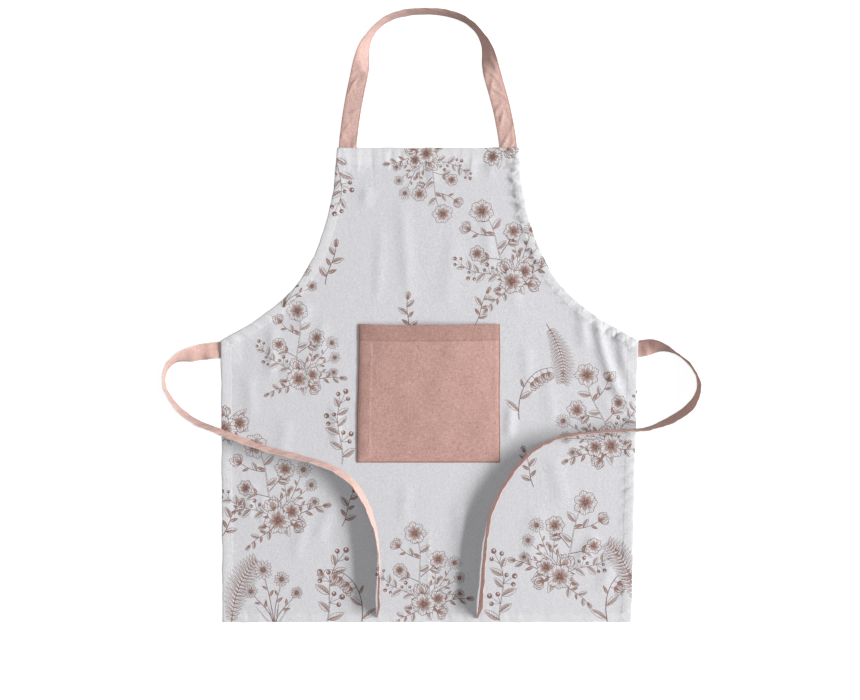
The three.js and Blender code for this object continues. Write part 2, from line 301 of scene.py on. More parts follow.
WHITE_COTTON = WovenFinish("white_cotton", (0.955, 0.951, 0.984), (0.73, 0.727, 0.757), crumple=0.3)
WHITE_HEM = WovenFinish("white_hem", (0.99, 0.988, 1.0), (0.79, 0.787, 0.815), crumple=0.3)
INKS = {
    Ink.TINT: WovenFinish("tint_ink", (0.7, 0.57, 0.54), (0.56, 0.43, 0.405)),
    Ink.MID: WovenFinish("mid_ink", (0.44, 0.265, 0.225), (0.32, 0.175, 0.147)),
    Ink.LINE: WovenFinish("line_ink", (0.3, 0.178, 0.15), (0.2, 0.11, 0.092)),
}
CHAMBRAY = WovenFinish("rose_chambray", (0.835, 0.533, 0.466), (0.53, 0.297, 0.256), 1.05, 7.0, 1.85, 0.14)
# Darker copy of the chambray for the band under the pocket's mouth: painted shade, the cloth there is the
# same colour as the body.
MOUTH_SHADE_CHAMBRAY = WovenFinish(
    "mouth_shade_chambray", (0.72, 0.45, 0.389), (0.45, 0.249, 0.213), 1.05, 7.0, 1.85, 0.14
)
BLUSH_TAPE = WovenFinish(
    "blush_tape", (0.98, 0.685, 0.615), (0.7, 0.435, 0.38), contrast=1.7, crumple=0.4, sheen=0.03
)
# Darker copy of the strap tape for its edge bands: painted shade along the rolled, stitched edges.
SEAM_SHADE_TAPE = WovenFinish(
    "seam_shade_tape", (0.84, 0.55, 0.485), (0.6, 0.35, 0.3), contrast=1.7, crumple=0.4, sheen=0.03
)
TIE_TAPE = WovenFinish(
    "tie_tape", (1.0, 0.69, 0.615), (0.78, 0.475, 0.41), contrast=1.7, crumple=0.4, sheen=0.03, glow=0.4
)
# Lighter copy of the tie tape for its edge bands: a painted highlight along the edges.
TIE_EDGE_HIGHLIGHT = WovenFinish(
    "tie_edge_highlight", (1.0, 0.75, 0.685), (0.86, 0.6, 0.54), contrast=1.7, crumple=0.4, sheen=0.03, glow=0.4
)
WHITE_THREAD = WovenFinish("white_thread", (0.86, 0.86, 0.87), (0.74, 0.74, 0.76), depth=0.05)
ROSE_THREAD = WovenFinish("rose_thread", (0.4, 0.215, 0.18), (0.3, 0.15, 0.125), depth=0.05)
# Dark rose for the pocket's outline band and edge walls: the rolled, stitched edge, with painted shade where
# it turns down.
ROSE_EDGE_SHADE = WovenFinish("rose_edge_shade", (0.5, 0.29, 0.245), (0.33, 0.18, 0.15), depth=0.05)
BLUSH_THREAD = WovenFinish("blush_thread", (0.74, 0.47, 0.42), (0.6, 0.36, 0.31), depth=0.05)


# Meshes


class Draft:
    """Points and faces of one piece in millimetres, gathered before its object is made."""

    def __init__(self) -> None:
        """Starts with no points."""
        self.points: list[np.ndarray] = []
        self.faces: list[tuple[int, ...]] = []
        self.paints: list[int] = []
        self.count = 0

    def add(self, points: np.ndarray, faces: np.ndarray | list, paint: int = 0) -> int:
        """Adds a patch.

        Args:
            points: Its points, one row each.
            faces: Its faces, numbered from its own first point.
            paint: Place of its material in the piece's list.

        Returns:
            The number of its first point in the whole piece.
        """
        start = self.count
        self.points.append(np.asarray(points, float))
        self.faces.extend(tuple(int(corner) + start for corner in face) for face in faces)
        self.paints.extend([paint] * len(faces))
        self.count += len(points)
        return start

    def join(self, corners: tuple[int, ...], paint: int = 0) -> None:
        """Adds one face between points that the piece already has."""
        self.faces.append(tuple(int(corner) for corner in corners))
        self.paints.append(paint)

    def build(self, name: str, finishes: list[bpy.types.Material], slot: Slot) -> bpy.types.Object:
        """Makes the object, in metres at the frame's origin, and lets it ride on the body.

        Args:
            name: Name of the piece.
            finishes: Its materials.
            slot: The record's slot that it belongs to; not used.

        Returns:
            The new object.
        """
        mesh = bpy.data.meshes.new(name)
        mesh.from_pydata((np.concatenate(self.points) * MM).tolist(), [], self.faces)
        for finish in finishes:
            mesh.materials.append(finish)
        mesh.polygons.foreach_set("material_index", self.paints)
        mesh.polygons.foreach_set("use_smooth", [True] * len(mesh.polygons))
        mesh.update()
        piece = bpy.data.objects.new(name, mesh)
        bpy.context.scene.collection.objects.link(piece)
        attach(piece, BODY)
        log.info("%s: %d faces", name, len(mesh.polygons))
        return piece


def grid_faces(rows: int, columns: int, closed: bool = False) -> list[tuple[int, int, int, int]]:
    """Quads between neighbouring rows of points.

    Args:
        rows: How many rows there are.
        columns: How many points each row has.
        closed: Whether each row is a ring.

    Returns:
        The quads, counterclockwise where rows go up and columns go right.
    """
    wide = columns if closed else columns - 1
    quads = []
    for row in range(rows - 1):
        for column in range(wide):
            right = (column + 1) % columns
            low, high = row * columns, (row + 1) * columns
            quads.append((low + column, low + right, high + right, high + column))
    return quads


@dataclass(frozen=True)
class Stitching:
    """A row of sewn stitches.

    Attributes:
        pitch: Distance from one stitch to the next.
        length: Length of thread that shows.
        radius: Half the thread's thickness.
    """

    pitch: float = 3.2
    length: float = 2.5
    radius: float = 0.3
    sides = 5
    rings = ((-0.32, 0.8), (0.0, 1.0), (0.32, 0.8))
    flatness = 0.8
    height = 0.25
    feel = 0.3

    def sew(self, draft: Draft, path: np.ndarray, normals: np.ndarray) -> None:
        """Adds stitches along a path.

        Args:
            draft: The piece that takes them.
            path: Points along the row, one in each row.
            normals: Direction out of the cloth at each point.
        """
        travelled = lengths_along(path)
        count = max(int(travelled[-1] / self.pitch), 1)
        stops = (np.arange(count) + 0.5) * travelled[-1] / count

        def along(values: np.ndarray, places: np.ndarray) -> np.ndarray:
            """Values read off at distances along the path."""
            return np.stack([np.interp(places, travelled, column) for column in values.T], axis=1)

        forward = unit(along(path, stops + self.feel) - along(path, stops - self.feel))
        outward = along(normals, stops)
        outward = unit(outward - forward * np.sum(outward * forward, axis=1)[:, None])
        shape, faces = self.thread()
        for centre, ahead, right, up in zip(along(path, stops), forward, np.cross(outward, forward), outward):
            points = [
                centre + ahead * (at * self.length) + right * (wide * self.radius)
                + up * ((high * self.flatness + self.height) * self.radius)
                for at, wide, high in shape
            ]
            draft.add(np.array(points), faces)

    def thread(self) -> tuple[list[tuple[float, float, float]], list[tuple[int, ...]]]:
        """Points and faces of one stitch, as shares of its length and radius."""
        sides = self.sides
        turns = np.arange(sides) * 2.0 * math.pi / sides
        shape = [(-0.5, 0.0, 0.0)]
        for at, size in self.rings:
            shape += [(at, size * math.cos(turn), size * math.sin(turn)) for turn in turns]
        shape.append((0.5, 0.0, 0.0))
        faces: list[tuple[int, ...]] = []
        for side in range(sides):
            ahead = (side + 1) % sides
            faces.append((0, 1 + ahead, 1 + side))
            for low in (1, 1 + sides):
                faces.append((low + side, low + ahead, low + sides + ahead, low + sides + side))
            faces.append((1 + 2 * sides + side, 1 + 2 * sides + ahead, 1 + 3 * sides))
        return shape, faces


# Shape of the panel


ARMHOLE_RISE = np.array([0.0, 0.057, 0.119, 0.244, 0.368, 0.554, 0.772, 1.0])
ARMHOLE_INSET = np.array([0.0, 0.16, 0.33, 0.58, 0.735, 0.872, 0.96, 1.0])


@dataclass(frozen=True)
class PanelShape:
    """Outline of the panel, with x from its middle and y from its bottom hem.

    Attributes:
        low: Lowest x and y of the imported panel.
        high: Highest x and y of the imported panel.
        side_height: From the bottom hem up to the tie corners.
        bib_width: Width of the bib at its top.
        bib_shift: How far the bib lies off the middle.
        left_taper: How far the left side runs in at the bottom.
        right_taper: How far the right side runs in at the bottom.
    """

    low: tuple[float, float]
    high: tuple[float, float]
    side_height: float = 472.0
    bib_width: float = 304.0
    bib_shift: float = -2.5
    left_taper: float = 3.0
    right_taper: float = 11.0

    @property
    def width(self) -> float:
        """Width across the tie corners."""
        return self.high[0] - self.low[0]

    @property
    def height(self) -> float:
        """Height from the bottom hem to the top of the bib."""
        return self.high[1] - self.low[1]

    @property
    def origin(self) -> np.ndarray:
        """Where the panel's own origin lies in the frame."""
        return np.array([(self.low[0] + self.high[0]) / 2.0, self.low[1]])

    def edge(self, side: Side, y: np.ndarray) -> np.ndarray:
        """The edge's x at each y on one side."""
        sign = side.value
        corner = sign * self.width / 2.0
        taper = self.left_taper if side is Side.LEFT else self.right_taper
        lower = corner - sign * taper * (1.0 - y / self.side_height)
        rise = np.clip((y - self.side_height) / (self.height - self.side_height), 0.0, 1.0)
        slopes = np.gradient(ARMHOLE_INSET)
        slopes[1:-1] = (ARMHOLE_INSET[2:] - ARMHOLE_INSET[:-2]) / (ARMHOLE_RISE[2:] - ARMHOLE_RISE[:-2])
        slopes[0] = ARMHOLE_INSET[1] / ARMHOLE_RISE[1]
        slopes[-1] = (1.0 - ARMHOLE_INSET[-2]) / (1.0 - ARMHOLE_RISE[-2])
        at = np.clip(np.searchsorted(ARMHOLE_RISE, rise, side="left") - 1, 0, len(ARMHOLE_RISE) - 2)
        span = ARMHOLE_RISE[at + 1] - ARMHOLE_RISE[at]
        share = (rise - ARMHOLE_RISE[at]) / span
        bend = (3.0 - 2.0 * share) * share * share
        inset = ARMHOLE_INSET[at] + (ARMHOLE_INSET[at + 1] - ARMHOLE_INSET[at]) * bend
        inset += span * share * (1 - share) * (slopes[at] * (1 - share) - slopes[at + 1] * share)
        bib = self.bib_shift + sign * self.bib_width / 2.0
        return np.where(y <= self.side_height, lower, corner + (bib - corner) * inset)

    def inside(self, xy: np.ndarray) -> np.ndarray:
        """Whether each point lies on the panel."""
        x, y = xy[:, 0], xy[:, 1]
        between = (x > self.edge(Side.LEFT, y)) & (x < self.edge(Side.RIGHT, y))
        return between & (y > 0.0) & (y < self.height)


@dataclass
class HemRun:
    """One stretch of the outline with its turned hem.

    Attributes:
        name: What the stretch is.
        points: Points along it, counterclockwise round the panel.
        hem: Width of the hem.
        pucker: Height of the waves that the stitching draws into the cloth.
        wave: Length of those waves.
        slant: How far they shift along the hem for each step into the panel.
        reach: Greatest distance that is measured.
        stretch: How many segments are searched together.
    """

    name: str
    points: np.ndarray
    hem: float
    pucker: float = 0.12
    wave: float = 17.0
    slant: float = 0.0
    reach: float = 60.0
    stretch: int = 8

    def measure(self, xy: np.ndarray) -> tuple[np.ndarray, np.ndarray]:
        """Distance from the stretch and place along it.

        Args:
            xy: Points of the panel.

        Returns:
            The distance to the stretch, and the length along it to the nearest point.
        """
        nearest = np.full(len(xy), self.reach)
        along = np.zeros(len(xy))
        span = np.diff(self.points, axis=0)
        length = np.linalg.norm(span, axis=1)
        travelled = lengths_along(self.points)[:-1]
        for first in range(0, len(span), self.stretch):
            part = slice(first, min(first + self.stretch, len(span)))
            corners = self.points[part.start : part.stop + 1]
            low, high = corners.min(axis=0) - self.reach, corners.max(axis=0) + self.reach
            close = np.flatnonzero(np.all((xy > low) & (xy < high), axis=1))
            if not len(close):
                continue
            offset = xy[close, None, :] - self.points[None, part, :]
            share = np.clip(np.sum(offset * span[part], axis=2) / length[part] ** 2, 0.0, 1.0)
            gap = np.hypot(*np.moveaxis(offset - share[:, :, None] * span[part], 2, 0))
            best = np.argmin(gap, axis=1)
            rows = np.arange(len(close))
            closer = gap[rows, best] < nearest[close]
            picked, best, rows = close[closer], best[closer], rows[closer]
            nearest[picked] = gap[rows, best]
            along[picked] = travelled[part][best] + share[rows, best] * length[part][best]
        return nearest, along

    def inset(self, distance: float) -> np.ndarray:
        """The stretch moved into the panel by a distance."""
        return self.points + left_of(unit(np.gradient(self.points, axis=0))) * distance


@dataclass(frozen=True)
class Fold:
    """A soft ridge in the panel.

    Attributes:
        x: Its middle, as a share of half the panel's width.
        y: Its middle, as a share of the side height.
        turn: Its angle from the Y axis in degrees, clockwise.
        long: Its length.
        wide: Half its width where it is about 0.6 of its height.
        high: Its height.
        bow: How far its middle bends off the straight line, positive to the right.
    """

    x: float
    y: float
    turn: float
    long: float
    wide: float
    high: float
    bow: float = 0.0

    def height(self, shape: PanelShape, xy: np.ndarray) -> np.ndarray:
        """Height of the ridge at each point of the panel."""
        turn = math.radians(self.turn)
        dx = xy[:, 0] - self.x * shape.width / 2.0
        dy = xy[:, 1] - self.y * shape.side_height
        along = (dx * math.sin(turn) + dy * math.cos(turn)) / (self.long / 2.0)
        middle = self.bow * (1.0 - np.clip(along, -1.0, 1.0) ** 2)
        across = (dx * math.cos(turn) - dy * math.sin(turn) - middle) / self.wide
        return self.high * np.exp(-across * across / 2.0) * (1.0 - smooth(0.35, 1.0, np.abs(along)))


FOLDS = (
    Fold(0.882, 0.915, -19.0, 180.0, 6.0, 3.0, -10.0),
    Fold(0.935, 0.95, -12.0, 100.0, 5.5, 1.7, -4.0),
    Fold(0.735, 1.05, -3.0, 90.0, 7.0, 1.7),
    Fold(0.81, 1.05, -5.0, 60.0, 5.0, 1.4),
    Fold(0.865, 0.76, -24.0, 60.0, 7.5, 0.9),
    Fold(-0.762, 0.965, 3.0, 110.0, 7.0, 1.6, 3.0),
    Fold(-0.607, 1.09, 12.0, 66.0, 7.0, 1.2),
    Fold(-0.684, 0.88, 0.0, 80.0, 6.5, 0.8),
    Fold(-0.573, 0.875, -2.0, 96.0, 6.0, 0.8),
    Fold(-0.449, 0.694, -4.0, 86.0, 6.5, 1.8),
    Fold(-0.52, 1.0, 6.0, 90.0, 6.0, 0.9),
    Fold(-0.86, 0.8, -6.0, 90.0, 7.0, 0.9),
    Fold(-0.7, 0.66, 10.0, 80.0, 9.0, 0.9),
    Fold(0.385, 0.711, 3.0, 68.0, 6.0, 1.8),
    Fold(0.47, 0.9, -4.0, 120.0, 6.5, 0.8),
    Fold(0.58, 0.78, -10.0, 100.0, 9.0, 0.9),
    Fold(0.012, 1.6, 0.0, 52.0, 5.5, 1.1),
    Fold(0.2, 1.61, 4.0, 40.0, 5.0, 1.0),
    Fold(0.29, 1.61, -5.0, 40.0, 5.0, 0.9),
    Fold(-0.305, 1.512, 8.0, 44.0, 7.0, 1.3),
    Fold(-0.115, 1.316, -4.0, 220.0, 8.0, 1.1),
    Fold(-0.24, 1.27, 3.0, 150.0, 6.0, 0.7),
    Fold(0.1, 1.25, 7.0, 160.0, 10.0, 0.8),
    Fold(0.28, 1.36, -5.0, 150.0, 7.0, 0.8),
    Fold(0.4, 1.2, -10.0, 110.0, 7.0, 0.8),
    Fold(0.755, 0.261, 37.0, 66.0, 6.5, 2.0),
    Fold(0.85, 0.17, 20.0, 80.0, 8.0, 1.2),
    Fold(0.5, 0.3, 10.0, 120.0, 11.0, 1.0),
    Fold(0.62, 0.5, -14.0, 110.0, 10.0, 1.1),
    Fold(-0.004, 0.18, 0.0, 190.0, 2.0, 0.45),
    Fold(-0.86, 0.43, 5.0, 76.0, 6.0, 1.5),
    Fold(-0.8, 0.41, -4.0, 66.0, 5.5, 1.0),
    Fold(-0.5, 0.36, 24.0, 100.0, 8.0, 1.1),
    Fold(-0.62, 0.3, 14.0, 90.0, 7.0, 0.9),
    Fold(-0.12, 0.42, 4.0, 80.0, 7.0, 0.7),
    Fold(0.14, 0.36, -5.0, 90.0, 7.0, 0.7),
)


@dataclass(frozen=True)
class TuckedEnd:
    """Where the end of a tape lies under the panel, in panel coordinates."""

    x: float
    y: float
    half_x: float
    half_y: float

    def cover(self, xy: np.ndarray) -> np.ndarray:
        """Share of the lift that the cloth above this end has at each point."""
        dx = np.maximum(np.abs(xy[:, 0] - self.x) - self.half_x, 0.0)
        dy = np.maximum(np.abs(xy[:, 1] - self.y) - self.half_y, 0.0)
        return 1.0 - smooth(2.5, 24.0, np.hypot(dx, dy))


class PanelRelief:
    """Heights of the panel's underside and top, in panel coordinates."""

    stitch_inset = 1.6
    step = 2.6
    fold_strength = 1.3
    stitch_groove = 0.42
    edge_rounding = 0.35
    groove_width = 0.9

    def __init__(self, shape: PanelShape, runs: list[HemRun], ends: list[TuckedEnd]) -> None:
        """Keeps what the heights depend on.

        Args:
            shape: The panel's outline.
            runs: The outline's stretches with their hems.
            ends: The tape ends that lie under the panel.
        """
        self.shape = shape
        self.runs = runs
        self.ends = ends

    def underside(self, xy: np.ndarray) -> np.ndarray:
        """Height of the cloth's lower face: folds, puckers and the rise over tucked tape ends."""
        height = self.fold_strength * sum(fold.height(self.shape, xy) for fold in FOLDS)
        height = height + (TAPE + GAP) * np.max([end.cover(xy) for end in self.ends], axis=0)
        for run in self.runs:
            distance, along = run.measure(xy)
            near = 1.0 - smooth(0.75 * run.hem, 1.7 * run.hem, distance)
            near *= 0.35 + 0.65 * smooth(-4.0, 0.45 * run.hem, distance)
            uneven = 0.72 + 0.28 * np.sin(along / 61.0 + run.hem)
            slanted = along + run.slant * distance
            wave = 0.5 + 0.5 * np.sin(2.0 * math.pi * slanted / run.wave + 1.2 * np.sin(along / 37.0))
            wave = wave + 0.22 * np.sin(2.0 * math.pi * slanted / (0.43 * run.wave) + 0.9)
            height = height + run.pucker * near * uneven * (0.25 + wave)
        x, y = xy[:, 0], xy[:, 1]
        rolling = np.sin(x / 61.0 + 0.6 * np.sin(y / 83.0)) * np.sin(y / 97.0 + 0.8 * np.sin(x / 71.0) + 1.3)
        return height + 0.35 * (1.0 + rolling)

    def top(self, xy: np.ndarray) -> np.ndarray:
        """Height of the printed face, with the hems' double cloth and sunk stitch lines."""
        wall = np.full(len(xy), CLOTH)
        groove = np.zeros(len(xy))
        for run in self.runs:
            distance, _ = run.measure(xy)
            hem = HEM_CLOTH - CLOTH
            double = 1.0 - smooth(run.hem - 0.6, run.hem + self.step, distance)
            wall = np.maximum(wall, CLOTH + hem * double)
            groove += self.stitch_groove * hill(distance - run.hem + self.stitch_inset, self.groove_width)
            groove += self.edge_rounding * np.exp(-distance / self.groove_width)
        return self.underside(xy) + wall - groove


class PanelOutline:
    """Makes the stretches of the panel's outline."""

    point_step = 4.0
    armhole_points = 90
    hems = {"side": 16.0, "armhole": 15.0, "top": 29.0, "bottom": 14.0}

    def __init__(self, shape: PanelShape) -> None:
        """Keeps the shape whose outline is drawn."""
        self.shape = shape

    def runs(self) -> list[HemRun]:
        """The six stretches, counterclockwise from the bottom hem."""
        shape = self.shape
        corners = [shape.edge(side, np.array([0.0]))[0] for side in Side]
        bib = [shape.edge(side, np.array([shape.height]))[0] for side in Side]
        low = self.sample(0.0, shape.side_height)
        high = self.armhole_heights()

        def run(
            name: str, x: np.ndarray, y: np.ndarray, hem: str, puckers: tuple[float, float, float]
        ) -> HemRun:
            """One stretch with a slightly uneven edge; its puckers are a height, a wave and a slant."""
            return HemRun(name, self.waver(np.stack([x, y], axis=1)), self.hems[hem], *puckers)

        across = self.sample(*corners)
        bib_across = self.sample(*bib)[::-1]
        right, left = Side.RIGHT, Side.LEFT
        return [
            run("bottom", across, np.zeros(len(across)), "bottom", (0.55, 29.0, 0.2)),
            run("right_side", shape.edge(right, low), low, "side", (1.1, 24.0, 0.5)),
            run("right_armhole", shape.edge(right, high), high, "armhole", (2.7, 20.0, -0.6)),
            run("top", bib_across, np.full(len(bib_across), shape.height), "top", (0.6, 18.0, 0.0)),
            run("left_armhole", shape.edge(left, high)[::-1], high[::-1], "armhole", (0.8, 19.0, 0.5)),
            run("left_side", shape.edge(left, low)[::-1], low[::-1], "side", (0.5, 28.0, -0.3)),
        ]

    def sample(self, start: float, end: float) -> np.ndarray:
        """Even places from start to end, about one step apart."""
        return np.linspace(start, end, int(abs(end - start) / self.point_step) + 1)

    def armhole_heights(self) -> np.ndarray:
        """Heights of the armhole's points, closer together where its edge runs flat."""
        rise = np.linspace(0.0, 1.0, self.armhole_points) ** 1.5
        return self.shape.side_height + rise * (self.shape.height - self.shape.side_height)

    @staticmethod
    def waver(points: np.ndarray) -> np.ndarray:
        """Moves the points between a stretch's ends in and out a little, as sewn edges do."""
        along = lengths_along(points)
        inward = left_of(unit(np.gradient(points, axis=0)))
        ends = np.minimum(along, along[-1] - along)
        waves = ripple(along, ((0.35, 57.0, 0.4), (0.3, 91.0, 2.0), (0.15, 23.0, 1.0)))
        return points + inward * ((0.4 + waves) * smooth(0.0, 40.0, ends))[:, None]


# Print


class Sketch:
    """Printed shapes of a motif in painting order, each a polygon with its ink."""

    def __init__(self) -> None:
        """Starts with a bare cloth."""
        self.shapes: list[tuple[np.ndarray, Ink]] = []

    def fill(self, points: np.ndarray, ink: Ink) -> None:
        """Prints one polygon."""
        self.shapes.append((np.asarray(points, float), ink))

    def ring(self, outer: np.ndarray, inner: np.ndarray) -> None:
        """Prints a shape as a thin line round bare cloth."""
        self.fill(outer, Ink.LINE)
        self.fill(inner, Ink.BARE)

    def disc(self, centre: tuple[float, float], radius: float, ink: Ink, corners: int = 8) -> None:
        """Prints a round spot."""
        turns = np.arange(corners) * 2.0 * math.pi / corners
        self.fill(np.array(centre) + radius * np.stack([np.cos(turns), np.sin(turns)], axis=1), ink)

    def stroke(
        self, foot: tuple[float, float], tip: tuple[float, float], width: float, ink: Ink = Ink.LINE
    ) -> None:
        """Prints an engraved line that runs out to a point."""
        start, end = np.asarray(foot, float), np.asarray(tip, float)
        ahead = (end - start) / max(np.linalg.norm(end - start), 1e-6)
        side = np.array([-ahead[1], ahead[0]]) * width / 2.0
        self.fill(np.array([start - side, end, start + side]), ink)

    def stem(self, path: np.ndarray, start: float, end: float, ink: Ink = Ink.LINE) -> None:
        """Prints a line along a path.

        Args:
            path: Points along it.
            start: Its width at the first point.
            end: Its width at the last point.
            ink: What it is printed with.
        """
        side = left_of(unit(np.gradient(path, axis=0)))
        half = np.linspace(start, end, len(path))[:, None] / 2.0
        left, right = path + side * half, path - side * half
        for index in range(len(path) - 1):
            self.fill(np.array([right[index], right[index + 1], left[index + 1], left[index]]), ink)

    def bark(self, path: np.ndarray, start: float, end: float) -> None:
        """Prints a woody stem: two outlines with short strokes on its shaded side."""
        self.stem(path, start, end)
        self.stem(path, max(start - 1.2, 0.3), max(end - 0.9, 0.1), Ink.BARE)
        ahead = unit(np.gradient(path, axis=0))
        for at, way in zip(path[1:-1:2], ahead[1:-1:2]):
            side = np.array([way[1], -way[0]])
            self.stroke(tuple(at + side * 0.5), tuple(at + way * 4.5 + side * 0.1), 0.7)

    def place(
        self, other: "Sketch", at: tuple[float, float], turn: float, size: float = 1.0, flip: bool = False
    ) -> None:
        """Prints another sketch on this one.

        Args:
            other: The sketch to add.
            at: Where its origin goes.
            turn: Its turn in degrees, clockwise from +Y.
            size: Its scale.
            flip: Whether it is mirrored.
        """
        angle = -math.radians(turn)
        rotate = np.array([[math.cos(angle), -math.sin(angle)], [math.sin(angle), math.cos(angle)]])
        mirror = np.array([-1.0 if flip else 1.0, 1.0])
        for points, ink in other.shapes:
            moved = (points * mirror * size) @ rotate.T + np.asarray(at)
            self.shapes.append((moved[::-1] if flip else moved, ink))


def bezier(*corners: tuple[float, float], count: int = 13) -> np.ndarray:
    """Points on a Bezier curve with three or four corners."""
    share = np.linspace(0.0, 1.0, count)[:, None]
    degree = len(corners) - 1
    return sum(
        math.comb(degree, index) * share**index * (1.0 - share) ** (degree - index) * np.array(corner)
        for index, corner in enumerate(corners)
    )


def petal_outline(
    length: float, width: float, fullness: float, samples: int = 7, line: float = 0.0
) -> np.ndarray:
    """Outline of a petal or leaf that grows along +Y.

    Args:
        length: Its length.
        width: Its greatest width.
        fullness: Over 1 puts the widest place nearer its tip.
        samples: Points along each side.
        line: How far the outline is moved inwards.

    Returns:
        The outline, counterclockwise.
    """
    share = np.linspace(0.0, 1.0, samples)
    half = (width / 2.0 - line) * np.sin(math.pi * share**fullness) ** 0.75
    half[0] = 0.08 * (width / 2.0 - line)
    half[-1] = 0.0
    rise = 1.1 * line + share * (length - 2.2 * line)
    right = np.stack([half, rise], axis=1)
    left = np.stack([-half, rise], axis=1)[::-1][1:]
    return np.concatenate([right, left])


ORIGIN = (0.0, 0.0)


class Botany:
    """Draws the print's flowers and plants in engraved lines. Each grows along +Y from its origin."""

    line = 0.72
    woody_from = 2.0
    petal_strokes = (
        (-0.95, Ink.MID), (-0.5, Ink.LINE), (-0.05, Ink.MID), (0.4, Ink.LINE), (0.85, Ink.MID),
    )
    anemone_petals = (0, 2, 4, 1, 3, 5, 6)
    stamens = 16
    daisy_petals = 14

    def __init__(self) -> None:
        """Seeds the small differences between petals."""
        self.chance = np.random.default_rng(23)

    def vary(self, spread: float) -> float:
        """A factor that differs from 1 by up to the spread."""
        return 1.0 + float(self.chance.uniform(-spread, spread))

    def blade(self, length: float, width: float, fullness: float, samples: int = 7) -> Sketch:
        """A bare petal or leaf with a fine outline."""
        sketch = Sketch()
        outer = petal_outline(length, width, fullness, samples)
        sketch.ring(outer, petal_outline(length, width, fullness, samples, self.line))
        return sketch

    def petal(self, length: float, width: float, fullness: float = 1.5, shade: float = 0.55) -> Sketch:
        """A round petal with a fine outline and strokes that fan out from its foot."""
        sketch = Sketch()
        length, width = length * self.vary(0.09), width * self.vary(0.12)
        outer = petal_outline(length, width, fullness)
        inner = petal_outline(length, width, fullness, line=self.line)
        waves = 1.0 + 0.07 * np.sin(np.arange(len(outer) - 6) * 2.1 + self.vary(1.0) * 3.0)
        outer[3:-3, 0] *= waves
        inner[3:-3, 0] *= waves
        sketch.ring(outer, inner)
        sketch.fill(petal_outline(length * shade * 1.2, width * 0.6, 1.1, 5), Ink.TINT)
        sketch.fill(petal_outline(length * shade * 0.6, width * 0.3, 1.0, 5), Ink.MID)
        for lean, ink in self.petal_strokes:
            reach = shade * length * self.vary(0.22) * (1.45 - 0.35 * lean * lean)
            sketch.stroke((lean * 0.1 * width, 0.1 * length), (lean * 0.36 * width, reach), 1.15, ink)
        for lean in (-0.6, -0.15, 0.25, 0.6):
            rim = (lean * 0.68 * width, (0.9 - 0.2 * lean * lean) * length)
            sketch.stroke(rim, (lean * 0.5 * width, (0.6 - 0.1 * lean) * length), 0.9, Ink.MID)
        return sketch

    def anemone(self, radius: float) -> Sketch:
        """An open flower of wide petals round a dark tuft."""
        sketch = Sketch()
        start = float(self.chance.uniform(0.0, 60.0))
        for index in self.anemone_petals:
            petal = self.petal(radius, radius * 0.74)
            turn = start + 360.0 * index / len(self.anemone_petals) + 4.0 * self.vary(1.0)
            sketch.place(petal, ORIGIN, turn)
        for index in range(self.stamens):
            turn = 2.0 * math.pi * index / self.stamens
            way = np.array([math.cos(turn), math.sin(turn)])
            reach = 0.36 * self.vary(0.2)
            sketch.stroke(tuple(way * 0.08 * radius), tuple(way * reach * radius), 1.1)
        sketch.disc(ORIGIN, 0.17 * radius, Ink.LINE)
        sketch.disc((0.02 * radius, 0.03 * radius), 0.1 * radius, Ink.MID, 6)
        return sketch

    def cup(self, size: float) -> Sketch:
        """A half open flower seen from its side."""
        sketch = Sketch()
        petals = ((-38.0, 0.86, 0.5), (38.0, 0.86, 0.5), (-16.0, 1.0, 0.62), (18.0, 0.95, 0.62))
        for turn, long, wide in petals:
            sketch.place(self.petal(size * long, size * wide, 1.25, 0.62), ORIGIN, turn)
        sketch.place(self.petal(size * 0.8, size * 0.66, 1.2, 0.7), ORIGIN, 2.0)
        for turn in (-48.0, -16.0, 20.0, 50.0):
            sepal = Sketch()
            sepal.fill(petal_outline(size * 0.36, size * 0.13, 0.8, 4), Ink.MID)
            sketch.place(sepal, (0.0, -0.5), turn)
        return sketch

    def daisy(self, radius: float) -> Sketch:
        """A flower with many narrow petals round a dotted eye."""
        sketch = Sketch()
        for index in range(self.daisy_petals):
            long = radius * self.vary(0.1)
            petal = self.blade(long, radius * 0.36, 1.5, 5)
            petal.stroke((0.1, 0.22 * long), (0.0, 0.8 * long), 1.2, Ink.MID)
            sketch.place(petal, ORIGIN, 360.0 * index / self.daisy_petals + 6.0 * self.vary(1.0))
        sketch.disc(ORIGIN, 0.28 * radius, Ink.LINE, 10)
        sketch.disc((0.05 * radius, 0.05 * radius), 0.19 * radius, Ink.MID, 8)
        return sketch

    def leaf(self, length: float, width: float) -> Sketch:
        """A pointed leaf, one half in close strokes and the other nearly bare."""
        length = length * self.vary(0.08)
        sketch = self.blade(length, width, 0.85)
        shaded = petal_outline(length * 0.92, width * 0.86, 0.85, 6)
        sketch.fill(np.concatenate([shaded[:6], [[0.0, 0.4 * length]]]), Ink.TINT)
        sketch.stroke(ORIGIN, (0.0, 0.94 * length), 1.4)
        for share in (0.12, 0.24, 0.36, 0.48, 0.6, 0.72):
            reach = width * 0.42 * math.sin(math.pi * (share + 0.14)) ** 0.6
            sketch.stroke((0.0, share * length), (reach, (share + 0.13) * length), 1.15)
        for share in (0.16, 0.32, 0.48, 0.64):
            reach = width * 0.36 * math.sin(math.pi * (share + 0.14)) ** 0.6
            sketch.stroke((0.0, share * length), (-reach, (share + 0.14) * length), 0.9, Ink.MID)
        return sketch

    def dark_leaf(self, length: float, width: float) -> Sketch:
        """A leaf in full ink with a bare midrib."""
        sketch = Sketch()
        sketch.fill(petal_outline(length, width, 0.85, 6), Ink.MID)
        sketch.stroke((0.0, 0.1 * length), (0.0, 0.88 * length), 0.8, Ink.BARE)
        return sketch

